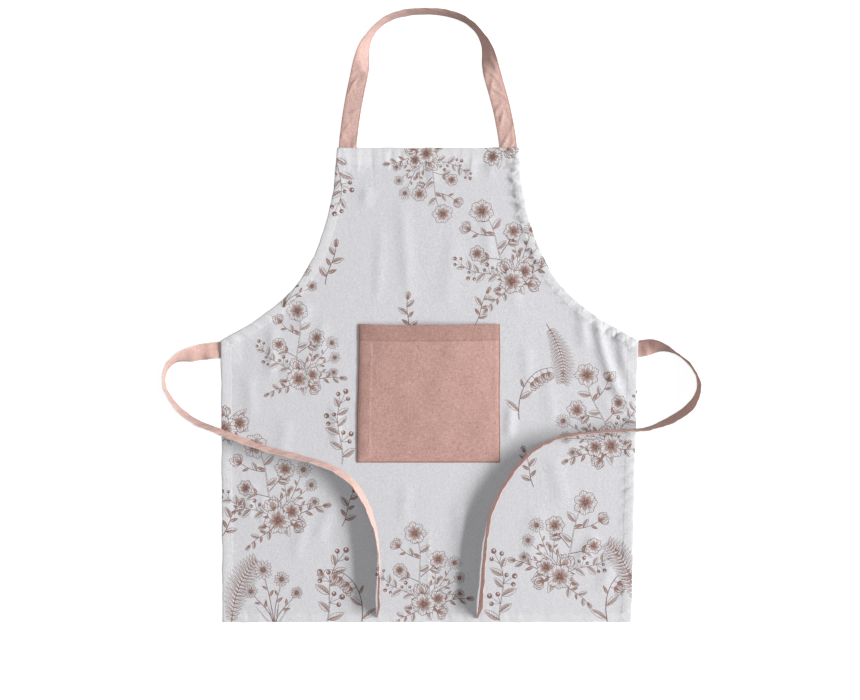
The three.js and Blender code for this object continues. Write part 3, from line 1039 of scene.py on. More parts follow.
    def bell(self, size: float) -> Sketch:
        """A hanging bell flower seen from its side, its mouth towards +Y."""
        sketch = Sketch()
        for turn, long in ((-26.0, 0.92), (26.0, 0.92), (0.0, 1.0)):
            sketch.place(self.petal(size * long, size * 0.58, 1.05, 0.6), ORIGIN, turn)
        sketch.fill(petal_outline(size * 0.28, size * 0.32, 0.7, 4), Ink.MID)
        return sketch

    def berry(self, radius: float) -> Sketch:
        """A round berry shaded along one side."""
        sketch = Sketch()
        sketch.disc((0.0, radius), radius, Ink.LINE, 10)
        sketch.disc((-0.08 * radius, 1.06 * radius), 0.74 * radius, Ink.MID)
        sketch.disc((-0.3 * radius, 1.25 * radius), 0.36 * radius, Ink.BARE, 6)
        return sketch

    def bud(self, size: float) -> Sketch:
        """A closed bud in its calyx."""
        sketch = self.petal(size, size * 0.6, 1.0, 0.7)
        sketch.fill(petal_outline(size * 0.4, size * 0.46, 0.7, 4), Ink.MID)
        return sketch

    def grow(self, sketch: Sketch, path: np.ndarray, rows: tuple, stem: tuple[float, float]) -> None:
        """Prints a stem and what grows from it.

        Args:
            sketch: The sketch that it goes on.
            path: The stem's path.
            rows: Rows of share along the stem, turn in degrees from its direction, and sketch.
            stem: Width of the stem at its foot and tip.
        """
        if stem[0] > self.woody_from:
            sketch.bark(path, *stem)
        else:
            sketch.stem(path, *stem)
        ahead = np.gradient(path, axis=0)
        for share, turn, grown in rows:
            at = min(int(round(share * (len(path) - 1))), len(path) - 1)
            heading = math.degrees(math.atan2(ahead[at][0], ahead[at][1]))
            sketch.place(grown, path[at], heading + turn)

    def anemone_branch(self) -> Sketch:
        """A woody branch with open flowers, a half open one, buds and leaves."""
        sketch = Sketch()
        main = bezier(ORIGIN, (-12.0, 40.0), (18.0, 78.0), (2.0, 122.0), count=15)
        right = bezier((1.0, 40.0), (14.0, 50.0), (26.0, 52.0), (38.0, 68.0), count=7)
        left = bezier((5.0, 74.0), (-10.0, 80.0), (-20.0, 86.0), (-30.0, 100.0), count=7)
        side = bezier((0.0, 30.0), (-16.0, 40.0), (-26.0, 44.0), (-36.0, 58.0), count=7)
        low = bezier((0.0, 14.0), (12.0, 20.0), (20.0, 22.0), (30.0, 30.0), count=5)
        rows = ((0.5, 58.0, self.leaf(20.0, 9.0)), (0.6, -50.0, self.leaf(17.0, 8.0)))
        self.grow(sketch, right, (*rows, (1.0, 0.0, self.anemone(18.0))), (1.4, 1.0))
        rows = ((0.4, 50.0, self.leaf(18.0, 8.0)), (0.7, -48.0, self.dark_leaf(13.0, 5.0)))
        self.grow(sketch, left, (*rows, (1.0, 0.0, self.cup(21.0))), (1.3, 0.9))
        rows = ((0.5, -46.0, self.leaf(19.0, 8.5)), (0.55, 44.0, self.dark_leaf(13.0, 5.5)))
        self.grow(sketch, side, (*rows, (1.0, 0.0, self.anemone(14.5))), (1.3, 0.9))
        rows = ((0.6, -40.0, self.dark_leaf(12.0, 5.0)), (1.0, 10.0, self.bud(13.0)))
        self.grow(sketch, low, rows, (1.1, 0.8))
        rows = (
            (0.1, -60.0, self.leaf(24.0, 11.0)), (0.46, 58.0, self.leaf(22.0, 10.0)),
            (0.66, -62.0, self.dark_leaf(15.0, 6.0)), (0.74, 56.0, self.leaf(24.0, 11.0)),
            (0.84, -54.0, self.leaf(21.0, 9.5)), (1.0, 0.0, self.anemone(22.0)),
        )
        self.grow(sketch, main, rows, (2.8, 1.4))
        return sketch

    def daisy_tuft(self) -> Sketch:
        """A tuft of daisies on thin stems with narrow leaves at the foot."""
        sketch = Sketch()
        blades = ((-24.0, 36.0, -14.0), (27.0, 32.0, 15.0), (-9.0, 46.0, -2.0), (13.0, 44.0, 5.0))
        for tip_x, tip_y, bend in blades:
            blade = bezier(ORIGIN, (bend, 16.0), (tip_x, tip_y), count=6)
            sketch.stem(blade, 3.0, 0.5, Ink.LINE)
            sketch.stem(blade, 1.6, 0.1, Ink.BARE)
        heads = ((-29.0, 60.0, 11.0), (-6.0, 90.0, 15.0), (20.0, 72.0, 12.5), (40.0, 48.0, 10.0))
        for x, y, radius in heads:
            path = bezier(ORIGIN, (0.1 * x, 0.55 * y), (0.75 * x, 0.7 * y), (x, y), count=8)
            rows = ((0.45, 42.0, self.dark_leaf(13.0, 4.5)), (0.6, -40.0, self.dark_leaf(11.0, 4.0)))
            self.grow(sketch, path, (*rows, (1.0, 0.0, self.daisy(radius))), (1.2, 0.8))
        return sketch

    def fern(self) -> Sketch:
        """A bending frond with paired leaflets."""
        sketch = Sketch()
        path = bezier(ORIGIN, (-2.0, 45.0), (10.0, 92.0), (36.0, 118.0), count=21)
        rows = []
        for index in range(2, 20):
            length = 25.0 * math.sin(math.pi * (0.12 + 0.84 * (20 - index) / 20.0)) + 2.0
            leaflet = self.blade(length, 5.6, 0.8, 5)
            leaflet.stroke((0.4, 0.0), (0.4, 0.9 * length), 1.9, Ink.MID)
            rows += [(index / 20.0, 62.0, leaflet), (index / 20.0, -62.0, leaflet)]
        self.grow(sketch, path, tuple(rows), (1.5, 0.6))
        return sketch

    def bell_stalk(self) -> Sketch:
        """An arching stalk hung with bell flowers."""
        sketch = Sketch()
        path = bezier(ORIGIN, (-16.0, 46.0), (0.0, 96.0), (46.0, 98.0), count=21)
        rows = [
            (0.1, -50.0, self.leaf(32.0, 9.5)), (0.24, 46.0, self.leaf(28.0, 9.0)),
            (0.4, -42.0, self.dark_leaf(16.0, 5.0)),
        ]
        for share, size in ((0.48, 17.0), (0.6, 19.0), (0.73, 18.0), (0.86, 15.0), (1.0, 11.0)):
            hung = Sketch()
            hung.stem(bezier(ORIGIN, (0.5, 3.0), (0.0, 7.0), count=3), 0.9, 0.8)
            hung.place(self.bell(size), (0.0, 6.5), 0.0)
            rows.append((share, 84.0 if share < 1.0 else 50.0, hung))
        self.grow(sketch, path, tuple(rows), (1.6, 0.8))
        return sketch

    def berry_twig(self) -> Sketch:
        """A twig with leaves and berries in threes."""
        sketch = Sketch()
        path = bezier(ORIGIN, (10.0, 32.0), (-10.0, 66.0), (8.0, 98.0), count=17)
        trio = Sketch()
        for turn, length, radius in ((-34.0, 12.0, 3.6), (4.0, 17.0, 4.2), (40.0, 11.0, 3.4)):
            stalk = Sketch()
            stalk.stem(bezier(ORIGIN, (0.6, 0.5 * length), (0.0, length), count=3), 0.8, 0.6)
            stalk.place(self.berry(radius), (0.0, length - 0.5), 0.0)
            trio.place(stalk, ORIGIN, turn)
        rows = (
            (0.14, 55.0, self.leaf(26.0, 11.0)), (0.24, -52.0, self.leaf(22.0, 10.0)), (0.38, 60.0, trio),
            (0.5, -56.0, self.leaf(25.0, 11.0)), (0.6, 48.0, self.leaf(20.0, 9.0)), (0.7, -58.0, trio),
            (0.82, 54.0, self.leaf(22.0, 10.0)), (0.92, -44.0, self.leaf(18.0, 8.0)), (1.0, 0.0, trio),
        )
        self.grow(sketch, path, rows, (2.2, 1.0))
        return sketch

    def sprig(self) -> Sketch:
        """A short leafy sprig with one bud."""
        sketch = Sketch()
        path = bezier(ORIGIN, (6.0, 18.0), (-2.0, 36.0), (4.0, 54.0), count=11)
        rows = (
            (0.2, 50.0, self.leaf(18.0, 8.0)), (0.32, -50.0, self.dark_leaf(14.0, 5.5)),
            (0.5, 50.0, self.dark_leaf(13.0, 5.0)), (0.62, -50.0, self.leaf(18.0, 8.0)),
            (0.8, 46.0, self.leaf(15.0, 7.0)), (1.0, 0.0, self.bud(13.0)),
        )
        self.grow(sketch, path, rows, (1.2, 0.8))
        return sketch

    def posy(self) -> Sketch:
        """Two open flowers and a cup with leaves behind them."""
        sketch = Sketch()
        for turn, length in ((-124.0, 30.0), (-70.0, 34.0), (30.0, 36.0), (84.0, 31.0), (150.0, 33.0)):
            sketch.place(self.leaf(length, 12.5), ORIGIN, turn)
        for turn in (-98.0, 58.0, 118.0):
            sketch.place(self.dark_leaf(26.0, 7.0), ORIGIN, turn)
        sketch.place(self.cup(24.0), (-8.0, 6.0), -32.0)
        sketch.place(self.anemone(15.0), (16.0, 9.0), 40.0)
        sketch.place(self.anemone(20.0), (-3.0, -6.0), 9.0)
        return sketch

    def bouquet(self) -> Sketch:
        """A wide bunch: branches and twigs that fan out behind a posy."""
        sketch = Sketch()
        sketch.place(self.berry_twig(), (-8.0, 2.0), -66.0, 0.72)
        sketch.place(self.sprig(), (12.0, 0.0), 74.0, 1.0)
        sketch.place(self.daisy_tuft(), (6.0, 4.0), 34.0, 0.8)
        sketch.place(self.anemone_branch(), (-4.0, 6.0), -12.0, 0.86)
        sketch.place(self.posy(), (2.0, 2.0), 12.0, 1.0)
        sketch.place(self.sprig(), (-10.0, -12.0), -118.0, 0.8, True)
        sketch.place(self.cup(19.0), (20.0, -12.0), 112.0)
        sketch.place(self.bud(13.0), (-20.0, -10.0), -100.0)
        return sketch


class Plant(Enum):
    """The plants that the print is made of."""

    DAISIES = "daisy_tuft"
    FERN = "fern"
    BELLS = "bell_stalk"
    BERRIES = "berry_twig"
    SPRIG = "sprig"
    POSY = "posy"
    BOUQUET = "bouquet"


@dataclass(frozen=True)
class Planting:
    """One plant of the print.

    Attributes:
        plant: Which plant it is.
        x: Its foot, as a share of half the panel's width.
        y: Its foot, as a share of the side height.
        turn: Its lean in degrees, clockwise from +Y.
        size: Its scale.
        flip: Whether it is mirrored.
    """

    plant: Plant
    x: float
    y: float
    turn: float
    size: float = 1.0
    flip: bool = False


PLANTINGS = (
    Planting(Plant.FERN, -0.95, -0.02, 4.0, 1.0),
    Planting(Plant.DAISIES, -0.74, -0.02, -8.0, 1.1),
    Planting(Plant.BERRIES, -0.5, -0.02, 6.0, 1.15),
    Planting(Plant.BELLS, -0.33, -0.02, -6.0, 1.05, True),
    Planting(Plant.BOUQUET, -0.02, 0.07, 4.0, 1.05),
    Planting(Plant.BERRIES, 0.34, -0.02, 4.0, 1.1, True),
    Planting(Plant.BOUQUET, 0.62, 0.17, 8.0, 1.15, True),
    Planting(Plant.BELLS, 0.86, -0.02, 2.0, 1.05),
    Planting(Plant.FERN, 0.99, 0.06, -8.0, 0.95, True),
    Planting(Plant.BOUQUET, -0.72, 0.37, -6.0, 1.15),
    Planting(Plant.SPRIG, -1.0, 0.3, 24.0, 1.15),
    Planting(Plant.SPRIG, -0.42, 0.34, 14.0, 1.1),
    Planting(Plant.POSY, -0.97, 0.7, 20.0, 1.15),
    Planting(Plant.BOUQUET, -0.62, 0.87, 10.0, 1.0),
    Planting(Plant.BERRIES, -0.42, 0.56, -6.0, 1.05),
    Planting(Plant.SPRIG, 0.5, 0.48, -10.0, 1.1, True),
    Planting(Plant.BOUQUET, 0.86, 0.63, -30.0, 1.1, True),
    Planting(Plant.BELLS, 0.43, 0.72, 12.0, 1.0),
    Planting(Plant.SPRIG, -0.1, 1.02, -6.0, 1.1),
    Planting(Plant.SPRIG, 0.22, 1.06, 16.0, 1.0),
    Planting(Plant.DAISIES, -0.7, 1.12, 14.0, 0.95),
    Planting(Plant.FERN, 0.56, 1.06, 148.0, 0.85),
    Planting(Plant.BOUQUET, 0.4, 1.22, -12.0, 1.12),
    Planting(Plant.SPRIG, -0.5, 1.2, 20.0, 1.2, True),
    Planting(Plant.BERRIES, -0.45, 1.7, 172.0, 1.0),
    Planting(Plant.BOUQUET, -0.02, 1.66, 176.0, 0.92),
    Planting(Plant.POSY, 0.33, 1.69, 150.0, 1.05),
)


class FloralPrint:
    """The panel's whole print in panel coordinates."""

    def __init__(self, shape: PanelShape) -> None:
        """Keeps the panel that is printed."""
        self.shape = shape

    def shapes(self) -> list[tuple[np.ndarray, Ink]]:
        """All printed polygons, in painting order."""
        botany = Botany()
        cloth = Sketch()
        for row in PLANTINGS:
            at = (row.x * self.shape.width / 2.0, row.y * self.shape.side_height)
            drawn = getattr(botany, row.plant.value)()
            cloth.place(drawn, at, row.turn, row.size, row.flip)
        return cloth.shapes


# Panel


def inks_at(spots: np.ndarray, shapes: list[tuple[np.ndarray, Ink]]) -> np.ndarray:
    """Looks up what is printed at each spot: the ink of the last shape that covers it.

    Args:
        spots: Places on the flat panel.
        shapes: Printed polygons with their inks, in painting order.

    Returns:
        The ink value at each spot.
    """
    order = np.argsort(spots[:, 0])
    x, y = spots[order].T
    found = np.full(len(spots), Ink.BARE.value)
    for points, ink in shapes:
        low, high = points.min(axis=0), points.max(axis=0)
        first, last = np.searchsorted(x, (low[0], high[0]))
        near = first + np.flatnonzero((y[first:last] > low[1]) & (y[first:last] < high[1]))
        if not len(near):
            continue
        start_x, start_y = points.T
        end_x, end_y = np.roll(points, -1, axis=0).T
        at_x, at_y = x[near, None], y[near, None]
        rise = np.where(end_y == start_y, 1.0, end_y - start_y)
        crossing = start_x + (at_y - start_y) * (end_x - start_x) / rise
        passed = ((start_y > at_y) != (end_y > at_y)) & (at_x < crossing)
        found[near[np.sum(passed, axis=1) % 2 == 1]] = ink.value
    inks = np.empty_like(found)
    inks[order] = found
    return inks


@dataclass
class InkMap:
    """Lines that divide the flat panel into inks.

    Attributes:
        points: Points of the lines.
        lines: Rows of first and last point.
        ring: The region's outline as numbers of its points, counterclockwise.
        shapes: Printed polygons with their inks, in painting order.
    """

    points: np.ndarray
    lines: list[tuple[int, int]]
    ring: list[int]
    shapes: list[tuple[np.ndarray, Ink]]
    nothing = -1
    merge = 1e-4
    straight = 0.01

    @classmethod
    def draw(cls, loop: np.ndarray, shapes: list[tuple[np.ndarray, Ink]]) -> "InkMap":
        """Finds which lines show of overlapping shapes.

        Args:
            loop: The region's outline, counterclockwise.
            shapes: Printed polygons with their inks, in painting order.

        Returns:
            The map of what shows inside the outline.
        """
        pairs = []
        start = len(loop)
        for corners, _ in shapes:
            numbers = range(start, start + len(corners))
            pairs += zip(numbers, [*numbers[1:], start])
            start += len(corners)
        flat = np.concatenate([loop] + [corners for corners, _ in shapes])
        points, triangles = cls.triangles(flat, pairs, list(range(len(loop))))
        inks = inks_at(points[triangles].mean(axis=1), shapes)
        side: dict[tuple[int, int], int] = {}
        for face, ink in zip(triangles.tolist(), inks.tolist()):
            for pair in zip(face, face[1:] + face[:1]):
                side[pair] = ink
        rows = []
        for (first, last), ink in side.items():
            other = side.get((last, first), cls.nothing)
            if ink != other and (first < last or other == cls.nothing):
                rows.append((first, last, ink, other))
        table = np.array(cls.straighten(points, rows))
        used, numbers = np.unique(table[:, :2], return_inverse=True)
        lines = [tuple(pair) for pair in numbers.reshape(-1, 2).tolist()]
        rim = [pair for pair, other in zip(lines, table[:, 3].tolist()) if other == cls.nothing]
        return cls(points[used], lines, follow(dict(rim)), shapes)

    @classmethod
    def triangles(cls, flat: np.ndarray, lines: list, ring: list[int]) -> tuple[np.ndarray, np.ndarray]:
        """Triangles inside a ring that keep to the given lines.

        Args:
            flat: Points.
            lines: Rows of first and last point.
            ring: The outline, as numbers of its points.

        Returns:
            The new points and the triangles.
        """
        places = [Vector(place) for place in flat.tolist()]
        points, _, faces, _, _, owners = delaunay_2d_cdt(places, lines, [ring], 0, cls.merge)
        kept = [face for face, owner in zip(faces, owners) if owner]
        return np.array([tuple(point) for point in points]), np.array(kept)

    @classmethod
    def straighten(cls, points: np.ndarray, rows: list[tuple[int, int, int, int]]) -> list:
        """Joins rows where a line runs straight on between the same two inks."""
        kept = dict(enumerate(rows))
        ends: dict[int, list[int]] = {}
        for number, row in kept.items():
            for point in row[:2]:
                ends.setdefault(point, []).append(number)
        places = points.tolist()
        for point, pair in ends.items():
            if len(pair) != 2:
                continue
            (a, b, left, right), (c, d, after_left, after_right) = kept[pair[0]], kept[pair[1]]
            if b != point:
                a, left, right = b, right, left
            if c != point:
                d, after_left, after_right = c, after_right, after_left
            if (left, right) != (after_left, after_right) or cls.nothing in (left, right) or a == d:
                continue
            span_x, span_y = places[d][0] - places[a][0], places[d][1] - places[a][1]
            off_x, off_y = places[point][0] - places[a][0], places[point][1] - places[a][1]
            longest = max(math.hypot(span_x, span_y), cls.straight)
            if abs(span_x * off_y - span_y * off_x) > cls.straight * longest:
                continue
            kept[pair[0]] = (a, d, left, right)
            del kept[pair[1]]
            ends[d][ends[d].index(pair[1])] = pair[0]
        return list(kept.values())

    def divide(self, loose: np.ndarray) -> tuple[np.ndarray, np.ndarray, np.ndarray]:
        """Divides the map into triangles.

        Args:
            loose: Further points that the triangles pass through.

        Returns:
            The points, the triangles, and each triangle's ink value.
        """
        points, triangles = self.triangles(np.concatenate([self.points, loose]), self.lines, self.ring)
        return points, triangles, inks_at(points[triangles].mean(axis=1), self.shapes)


def outline_of(triangles: np.ndarray) -> list[int]:
    """The region's outline as an ordered ring of point numbers, counterclockwise."""
    edges = {(a, b) for face in triangles.tolist() for a, b in zip(face, face[1:] + face[:1])}
    return follow({a: b for a, b in edges if (b, a) not in edges})


def spread_points(
    shape: PanelShape, runs: list[HemRun], pitch: float, insets: dict[str, list[float]]
) -> np.ndarray:
    """Points inside the panel: an even lattice in its middle and rows along its hems.

    Args:
        shape: The panel's outline.
        runs: Its stretches.
        pitch: Distance between points of the lattice.
        insets: For each stretch's name, how far in its rows lie.

    Returns:
        The points.
    """
    rise = pitch * math.sqrt(3.0) / 2.0
    lattice = []
    for row, y in enumerate(np.arange(rise, shape.height, rise)):
        shift = pitch / 2.0 if row % 2 else 0.0
        x = np.arange(-shape.width / 2.0 + shift, shape.width / 2.0, pitch)
        lattice.append(np.stack([x, np.full(len(x), y)], axis=1))
    inner = np.concatenate(lattice)
    inner = inner[shape.inside(inner)]
    for run in runs:
        distance, _ = run.measure(inner)
        inner = inner[distance > max(insets[run.name]) + 0.6 * pitch]
    rows = [inner]
    for run in runs:
        for inset in insets[run.name]:
            row = run.inset(inset)
            clear = shape.inside(row)
            for other in runs:
                distance, _ = other.measure(row)
                clear &= distance > min(0.9 * inset, inset - 0.2)
            rows.append(row[clear])
    return np.concatenate(rows)


class Panel:
    """The printed body and bib of the apron."""

    face_pitch = 6.0
    under_pitch = 14.0
    under_groove = 0.4
    rim_bulge = 0.35
    rim_share = 0.3
    slope_reach = 0.5

    def __init__(self, shape: PanelShape, relief: PanelRelief) -> None:
        """Keeps the outline and heights.

        Args:
            shape: The panel's outline.
            relief: The panel's heights.
        """
        self.shape = shape
        self.relief = relief

    def to_frame(self, xy: np.ndarray, z: np.ndarray) -> np.ndarray:
        """Points of the panel's plane with heights, moved to the frame."""
        return np.column_stack([xy + self.shape.origin, z])

    def top_normals(self, xy: np.ndarray) -> np.ndarray:
        """Directions out of the printed face, worked out from its slope."""
        reach = self.slope_reach
        slopes = [self.relief.top(xy + way) - self.relief.top(xy - way) for way in reach * np.eye(2)]
        return unit(np.column_stack([-slopes[0], -slopes[1], np.full(len(xy), 2.0 * reach)]))

    def build(self) -> bpy.types.Object:
        """Makes the panel as one closed cloth with its print laid into the face."""
        runs = self.relief.runs
        loop = np.concatenate([run.points[:-1] for run in runs])
        steps = (-3.2, -1.6, 0.0, 3.0, 7.0)
        top_rows = {run.name: [1.3, 3.5, *(run.hem + step for step in steps)] for run in runs}
        loose = spread_points(self.shape, runs, self.face_pitch, top_rows)
        xy, triangles, inks = InkMap.draw(loop, FloralPrint(self.shape).shapes()).divide(loose)
        turned = self.turned(xy[triangles].mean(axis=1))
        inks = np.where((inks == Ink.BARE.value) & turned, Ink.HEM.value, inks)
        used, triangles = np.unique(triangles, return_inverse=True)
        xy, triangles = xy[used], triangles.reshape(-1, 3)
        rim = outline_of(triangles)
        top = self.relief.top(xy)
        draft = Draft()
        draft.add(self.to_frame(xy, top), triangles)
        draft.paints = inks.tolist()
        under_rows = {run.name: [run.hem - 1.5, run.hem, run.hem + 1.5] for run in runs}
        loose = spread_points(self.shape, runs, self.under_pitch, under_rows)
        low_xy, low_triangles, _ = InkMap.draw(xy[rim], []).divide(loose)
        low = self.underside(low_xy)
        start = draft.add(self.to_frame(low_xy, low), low_triangles[:, ::-1])
        self.close_rim(draft, xy[rim], top[rim], low[: len(rim)], np.array(rim), start)
        finishes = [WHITE_COTTON.build()] + [INKS[ink].build() for ink in (Ink.TINT, Ink.MID, Ink.LINE)]
        finishes.append(WHITE_HEM.build())
        panel = draft.build("apron_panel", finishes, Slot.PRINTED_COTTON)
        self.set_normals(panel, xy, set(rim))
        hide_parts("panel")
        return panel

    def turned(self, xy: np.ndarray) -> np.ndarray:
        """Whether each point lies on a turned hem."""
        return np.any([run.measure(xy)[0] < run.hem for run in self.relief.runs], axis=0)

    def underside(self, xy: np.ndarray) -> np.ndarray:
        """Lower face, with a shallow groove where each turned hem ends."""
        height = self.relief.underside(xy)
        for run in self.relief.runs:
            distance, _ = run.measure(xy)
            height = height + self.under_groove * hill(distance - run.hem, 1.0)
        return height

    @staticmethod
    def flat_area(loop: np.ndarray) -> float:
        """Area inside a loop, in square metres."""
        ahead = np.roll(loop, -1, axis=0)
        return abs(float(np.sum(loop[:, 0] * ahead[:, 1] - ahead[:, 0] * loop[:, 1]))) / 2.0 * MM * MM

    def close_rim(
        self, draft: Draft, xy: np.ndarray, top: np.ndarray, low: np.ndarray, rim: np.ndarray, start: int
    ) -> None:
        """Joins the two faces by a rounded edge.

        Args:
            draft: The panel.
            xy: Outline points, counterclockwise.
            top: Their heights on the printed face.
            low: Their heights on the lower face.
            rim: Numbers of the outline points on the printed face.
            start: Number of the first outline point on the lower face.
        """
        ahead = unit(np.roll(xy, -1, axis=0) - np.roll(xy, 1, axis=0))
        out = xy - left_of(ahead) * self.rim_bulge
        share = self.rim_share * (top - low)
        rows = [self.to_frame(out, top - share), self.to_frame(out, low + share)]
        first = draft.add(np.concatenate(rows), [])
        count = len(xy)
        order = np.arange(count)
        rings = [rim, first + order, first + count + order, start + order]
        for above, below in zip(rings, rings[1:]):
            for index in range(count):
                after = (index + 1) % count
                draft.join((below[index], below[after], above[after], above[index]))

    def set_normals(self, panel: bpy.types.Object, xy: np.ndarray, rim: set[int]) -> None:
        """Shades the printed face by its true slope, whatever its triangles are."""
        mesh = panel.data
        normals = np.zeros(len(mesh.vertices) * 3, np.float32)
        mesh.vertex_normals.foreach_get("vector", normals)
        normals = normals.reshape(-1, 3)
        inner = np.array([index for index in range(len(xy)) if index not in rim])
        normals[inner] = self.top_normals(xy[inner])
        mesh.normals_split_custom_set_from_vertices(normals.tolist())

    def stitches(self) -> bpy.types.Object:
        """The hems' stitch rows, all in one piece."""
        draft = Draft()
        sewing = Stitching(pitch=3.3, length=2.6, radius=0.26)
        for run in self.relief.runs:
            row = run.inset(run.hem - self.relief.stitch_inset)
            row = row[self.shape.inside(row)]
            path = self.to_frame(row, self.relief.top(row))
            sewing.sew(draft, path, self.top_normals(row))
        return draft.build("hem_stitches", [WHITE_THREAD.build()], Slot.PRINTED_COTTON)


# Pocket


class Patch(Enum):
    """What a patch of the pocket is made of: plain cloth, the band under the mouth in painted shade, and the
    rolled edge with painted shade. The value is its place in the pocket's material list.
    """

    SINGLE = 0
    MOUTH_SHADE = 1
    EDGE_SHADE = 2


@dataclass
class Pocket:
    """The patch pocket, in panel coordinates.

    Attributes:
        relief: The panel that it lies on.
        width: Its width.
        height: Its height.
        centre_x: Its middle.
        bottom: Its lower edge above the bottom hem.
        mouth_inset: How far its left side runs in at the mouth.
        top_hem: Depth of the hem at its mouth.
        pouch: How far its mouth stands open in the middle.
        pitch: Distance between its mesh's points.
    """

    relief: PanelRelief
    width: float = 240.4
    height: float = 231.8
    centre_x: float = -1.9
    bottom: float = 267.9
    mouth_inset: float = 3.6
    top_hem: float = 28.0
    pouch: float = 5.2
    pitch: float = 2.6
    stitch_inset = 2.0
    mouth_stitch_inset = 1.6
    # Width of the outline band that is painted dark: the rolled edge with painted shade.
    shade_rim_width = 1.6

    def grid(self) -> tuple[np.ndarray, np.ndarray, np.ndarray]:
        """Shares across and up, and the points in panel coordinates."""
        close = [0.0, 0.8, 1.6, 3.2]

        def places(size: float, extra: list[float]) -> np.ndarray:
            """Distances from one edge, closer together at the edges and beside the given lines."""
            even = np.linspace(close[-1], size - close[-1], int(size / self.pitch))
            return np.unique(np.round(np.concatenate([close, even, size - np.array(close), extra]), 3))

        across = places(self.width, [20.5, 21.3, 22.3])
        up = places(self.height, [self.height - self.top_hem + step for step in (-2.0, -1.0, 0.0, 1.0)])
        v, u = np.meshgrid(up / self.height, across / self.width, indexing="ij")
        left = self.centre_x - self.width / 2.0 + self.mouth_inset * v
        right = self.centre_x + self.width / 2.0
        x = left + (right - left) * u
        y = self.bottom + v * self.height
        x = x + 0.5 * np.sin(y / 31.0) * (1.0 - u) + 0.35 * np.sin(y / 23.0 + 1.0) * u
        y = y + (0.5 * np.sin(x / 37.0) + 0.4 * np.sin(x / 17.0 + 2.0)) * v - 1.4 * np.sin(math.pi * u) * v
        return u, v, np.stack([x, y], axis=-1)

    def heights(self, u: np.ndarray, v: np.ndarray, xy: np.ndarray) -> tuple[np.ndarray, np.ndarray]:
        """Lower and upper heights of the pocket's cloth."""
        flat = xy.reshape(-1, 2)
        resting = np.maximum.reduce([self.relief.top(flat + (dx, 0.0)) for dx in (-5.0, 0.0, 5.0)])
        open_share = np.sin(math.pi * u) * np.sin(math.pi / 2.0 * v)
        left, right = u * self.width, (1.0 - u) * self.width
        low, top = v * self.height, (1.0 - v) * self.height
        lift = 0.5 * hill(left, 5.0) * smooth(0.5, 0.95, v) + self.crumples(left, right, low, top)
        under = resting.reshape(u.shape) + GAP + self.pouch * open_share + np.maximum(lift + 0.1, 0.0)
        hems = ((left, 21.5, 0.5), (right, 10.0, 0.35), (low, 10.0, 0.35), (top, self.top_hem, 0.6))
        wall = np.full(u.shape, CLOTH)
        for distance, hem, extra in hems:
            wall = np.maximum(wall, CLOTH + extra * (1.0 - smooth(hem - 0.6, hem + 2.0, distance)))
        groove = 0.0
        for distance in (left, right, low):
            groove = groove + 0.45 * hill(distance - self.stitch_inset, 0.8)
        groove = groove + 0.45 * hill(top - (self.top_hem - self.mouth_stitch_inset), 0.8)
        rounding = 0.35 * sum(np.exp(-distance / 0.8) for distance in (left, right, low, top))
        return under, under + wall - groove - rounding

    @staticmethod
    def crumples(left: np.ndarray, right: np.ndarray, low: np.ndarray, top: np.ndarray) -> np.ndarray:
        """Height of the pocket's body over its seams, with its rolling, dents and one pinch.

        Args:
            left: Distance from the left seam.
            right: Distance from the right seam.
            low: Distance from the lower seam.
            top: Distance from the mouth.

        Returns:
            The height at each point.
        """
        body = 3.3 * (1.0 - np.exp(-left / 6.0)) * (1.0 - np.exp(-right / 16.0)) * (1.0 - np.exp(-low / 9.0))
        inner = smooth(3.0, 26.0, np.minimum.reduce([left, right, low]))
        rolling = 0.5 * np.sin(left / 19.0 + 1.3 * np.sin(low / 41.0 + 0.6) + 0.4)
        rolling += 0.35 * np.sin(left / 9.5 - low / 33.0) * np.sin(low / 43.0 + 1.0)
        rolling += 0.25 * np.sin((left + low) / 13.0 + 0.8 * np.sin((left - low) / 37.0))
        scallop = np.sin(low / 6.4 + 0.9 * np.sin(low / 31.0))
        scallop += 0.5 * np.sin(low / 2.9 + 0.6 * np.sin(low / 17.0))
        dents = 0.5 * scallop * hill(left, 11.0) * (1.0 - np.exp(-left / 2.5))
        dents += 0.22 * np.sin(low / 5.1 + 1.0) * hill(right, 8.0)
        dents += 0.25 * np.sin(left / 5.3) * hill(low, 8.0)
        pinch = hill(right - 15.0, 4.0) * hill(top - 21.0, 7.0)
        return body + inner * rolling + dents - pinch

    def build(self) -> bpy.types.Object:
        """Makes the pocket as one closed patch, open towards the bib."""
        u, v, xy = self.grid()
        under, top = self.heights(u, v, xy)
        rows, columns = u.shape
        place = xy.reshape(-1, 2) + self.relief.shape.origin
        draft = Draft()
        quads = grid_faces(rows, columns)
        draft.add(np.column_stack([place, top.ravel()]), quads)
        low = draft.add(np.column_stack([place, under.ravel()]), [quad[::-1] for quad in quads])
        ring = list(range(columns))
        ring += [row * columns + columns - 1 for row in range(1, rows)]
        ring += [(rows - 1) * columns + column for column in range(columns - 2, -1, -1)]
        ring += [row * columns for row in range(rows - 2, 0, -1)]
        # Edge walls take the dark edge finish: painted shade where the cloth turns down.
        for index, corner in enumerate(ring):
            after = ring[(index + 1) % len(ring)]
            draft.join((corner, low + corner, low + after, after), Patch.EDGE_SHADE.value)
        across = (u[:-1, :-1] + u[1:, 1:]) / 2.0 * self.width
        up = (v[:-1, :-1] + v[1:, 1:]) / 2.0 * self.height
